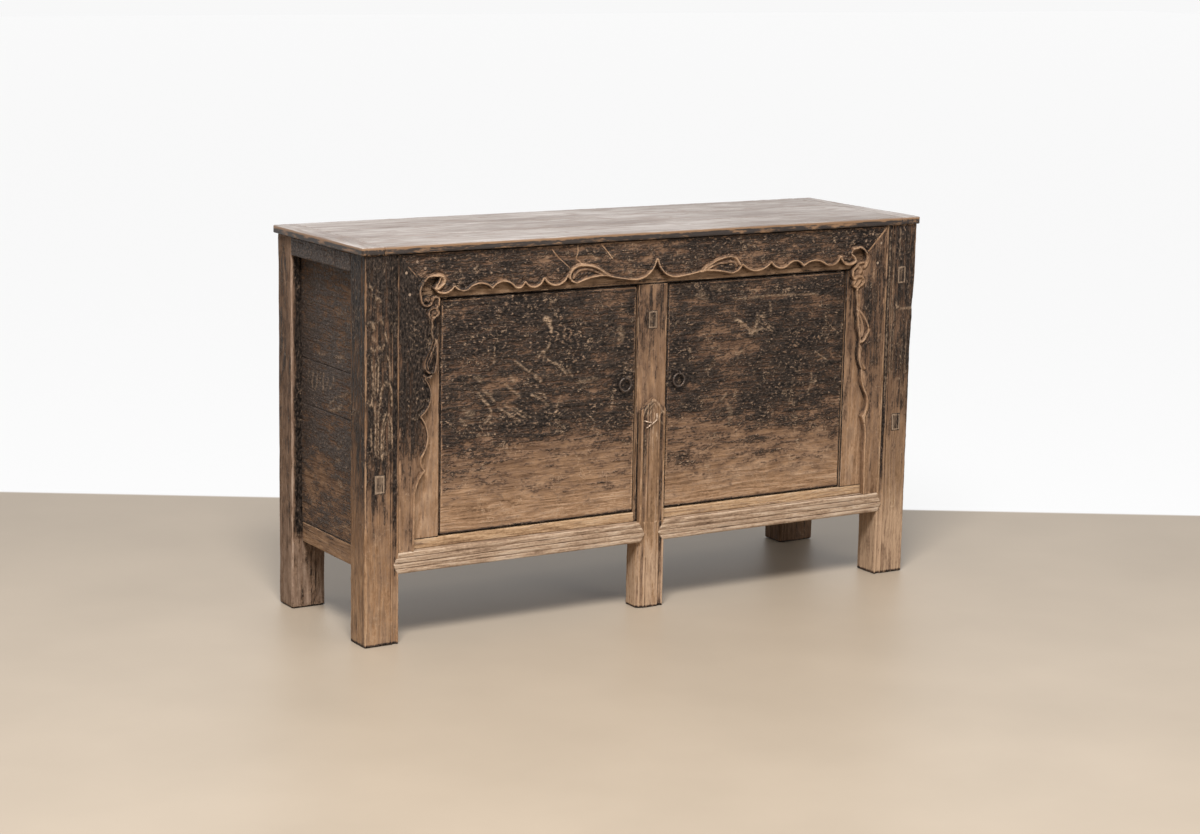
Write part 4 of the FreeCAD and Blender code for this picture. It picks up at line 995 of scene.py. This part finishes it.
# Let-in patches
# Small blocks of elm let into the posts and the centre stile where a knot or a mortise was cut out, glued
# in a little proud, with dirt round them.
patch_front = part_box("left_front_post")[0].y
half_width, half_height = 13, 21
for name, x, z, front in (("left_post_patch", -680, 350, patch_front),
                          ("right_post_low_patch", 680, 365, patch_front),
                          ("right_post_high_patch", 680, 715, patch_front), ("stile_patch", 0, 652, head_lo.y)):
    lo = Vector(((x - half_width) / 1000, front - 0.0008, (z - half_height) / 1000))
    hi = Vector(((x + half_width) / 1000, front + 0.007, (z + half_height) / 1000))
    patch = plank(name, lo, hi, 2.0, (2.5, 4, 2.5))
    worn(patch, 14, 0.5)
    spots = points_of(patch)
    rim = np.minimum(half_width - np.abs(spots[:, 0] - x), half_height - np.abs(spots[:, 2] - z))
    keep(patch, "carved", np.where(rim < 1.6, -1.2, 0.6 * unit(1 - np.abs(rim - 4) / 2.5)))
    shade()
    lacquered_elm(patch, 2, 93.0 + z / 100, (300, 720), (0.25, 0.35), 3, 0.3, ("#4f4034", "#84705d", "#a18d78"),
                  ("#483a30", "#73604f"))
    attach(patch, "case")
    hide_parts("patch_plugs")


# Stage
# A pale, faintly polished floor in a white studio with soft light.
bpy.ops.object.select_all(action="DESELECT")
bpy.ops.mesh.primitive_plane_add(size=1, location=(0, 0, -0.0005))
floor = bpy.context.object
floor.name = "studio_floor"
floor.scale = (60, 60, 1)
bpy.ops.object.transform_apply(location=True, rotation=True, scale=True)
# Screed: warm grey with faint clouds and a soft sheen.
screed, tree, shader, place = material("pale_floor")
cloud = add(tree, "TexNoise", {"Vector": place, "Scale": 2.5, "Detail": 5})
colour = add(tree, "Mix", {0: cloud, 6: linear("#978978"), 7: linear("#a89987")}, out=2, data_type="RGBA")
# Beyond a line behind the object the floor is painted white, so that it goes over into the backdrop.
across, deep = [add(tree, "SeparateXYZ", {"Vector": place}, out=axis) for axis in "XY"]
white = add(tree, "Math MULTIPLY_ADD", (across, 0.629, deep))
white = add(tree, "MapRange", (white, 0.99, 1.01))
colour = add(tree, "Mix", {0: white, 6: colour, 7: linear("#4a4a4a")}, out=2, data_type="RGBA")
glow = add(tree, "Math MULTIPLY", (white, 0.84))
rough = add(tree, "MapRange", (white, 0, 1, 0.45, 0.9))
feed(tree, shader, {"Base Color": colour, "Roughness": rough, "Emission Strength": glow,
                    "Emission Color": linear("#ffffff")})
floor.data.materials.append(screed)

# A white studio: the backdrop shows and reflects white, and fills the shadows with less.
world = bpy.data.worlds.new("white_studio")
bpy.context.scene.world = world
world.use_nodes = True
tree = world.node_tree
seen = add(tree, "LightPath", out="Is Diffuse Ray")
strength = add(tree, "MapRange", (seen, 0, 1, 0.94, 0.5))
feed(tree, tree.nodes["Background"], {"Strength": strength, "Color": linear("#ffffff")})
# A large key light high on the left front, and a weak fill from the right front.
for place, size, watts in (((-1.9, -2.6, 4.2), 1.5, 360), ((1.6, -5.0, 2.2), 2.0, 60)):
    bpy.ops.object.light_add(type="AREA", location=place)
    light = bpy.context.object
    light.data.size = size
    light.data.energy = watts
    light.rotation_euler = (Vector((0, 0, 0.4)) - light.location).to_track_quat("-Z", "Y").to_euler()

# The camera stands where the photograph was taken.
yaw, pitch, roll = 0.5568, 0.1926, 0.0188
forward = Vector((math.sin(yaw) * math.cos(pitch), math.cos(yaw) * math.cos(pitch), -math.sin(pitch)))
right = Vector((math.cos(yaw), -math.sin(yaw), 0))
up = right.cross(forward)
across = right * math.cos(roll) + up * math.sin(roll)
upright = up * math.cos(roll) - right * math.sin(roll)
bpy.ops.object.camera_add()
camera = bpy.context.object
camera.data.sensor_width = 36
camera.data.lens = 77.284
camera.matrix_world = Matrix((across, upright, -forward)).transposed().to_4x4()
camera.location = (-3.06542, -4.90855, 1.52664)
bpy.context.scene.camera = camera
bpy.context.scene.view_settings.view_transform = "Standard"
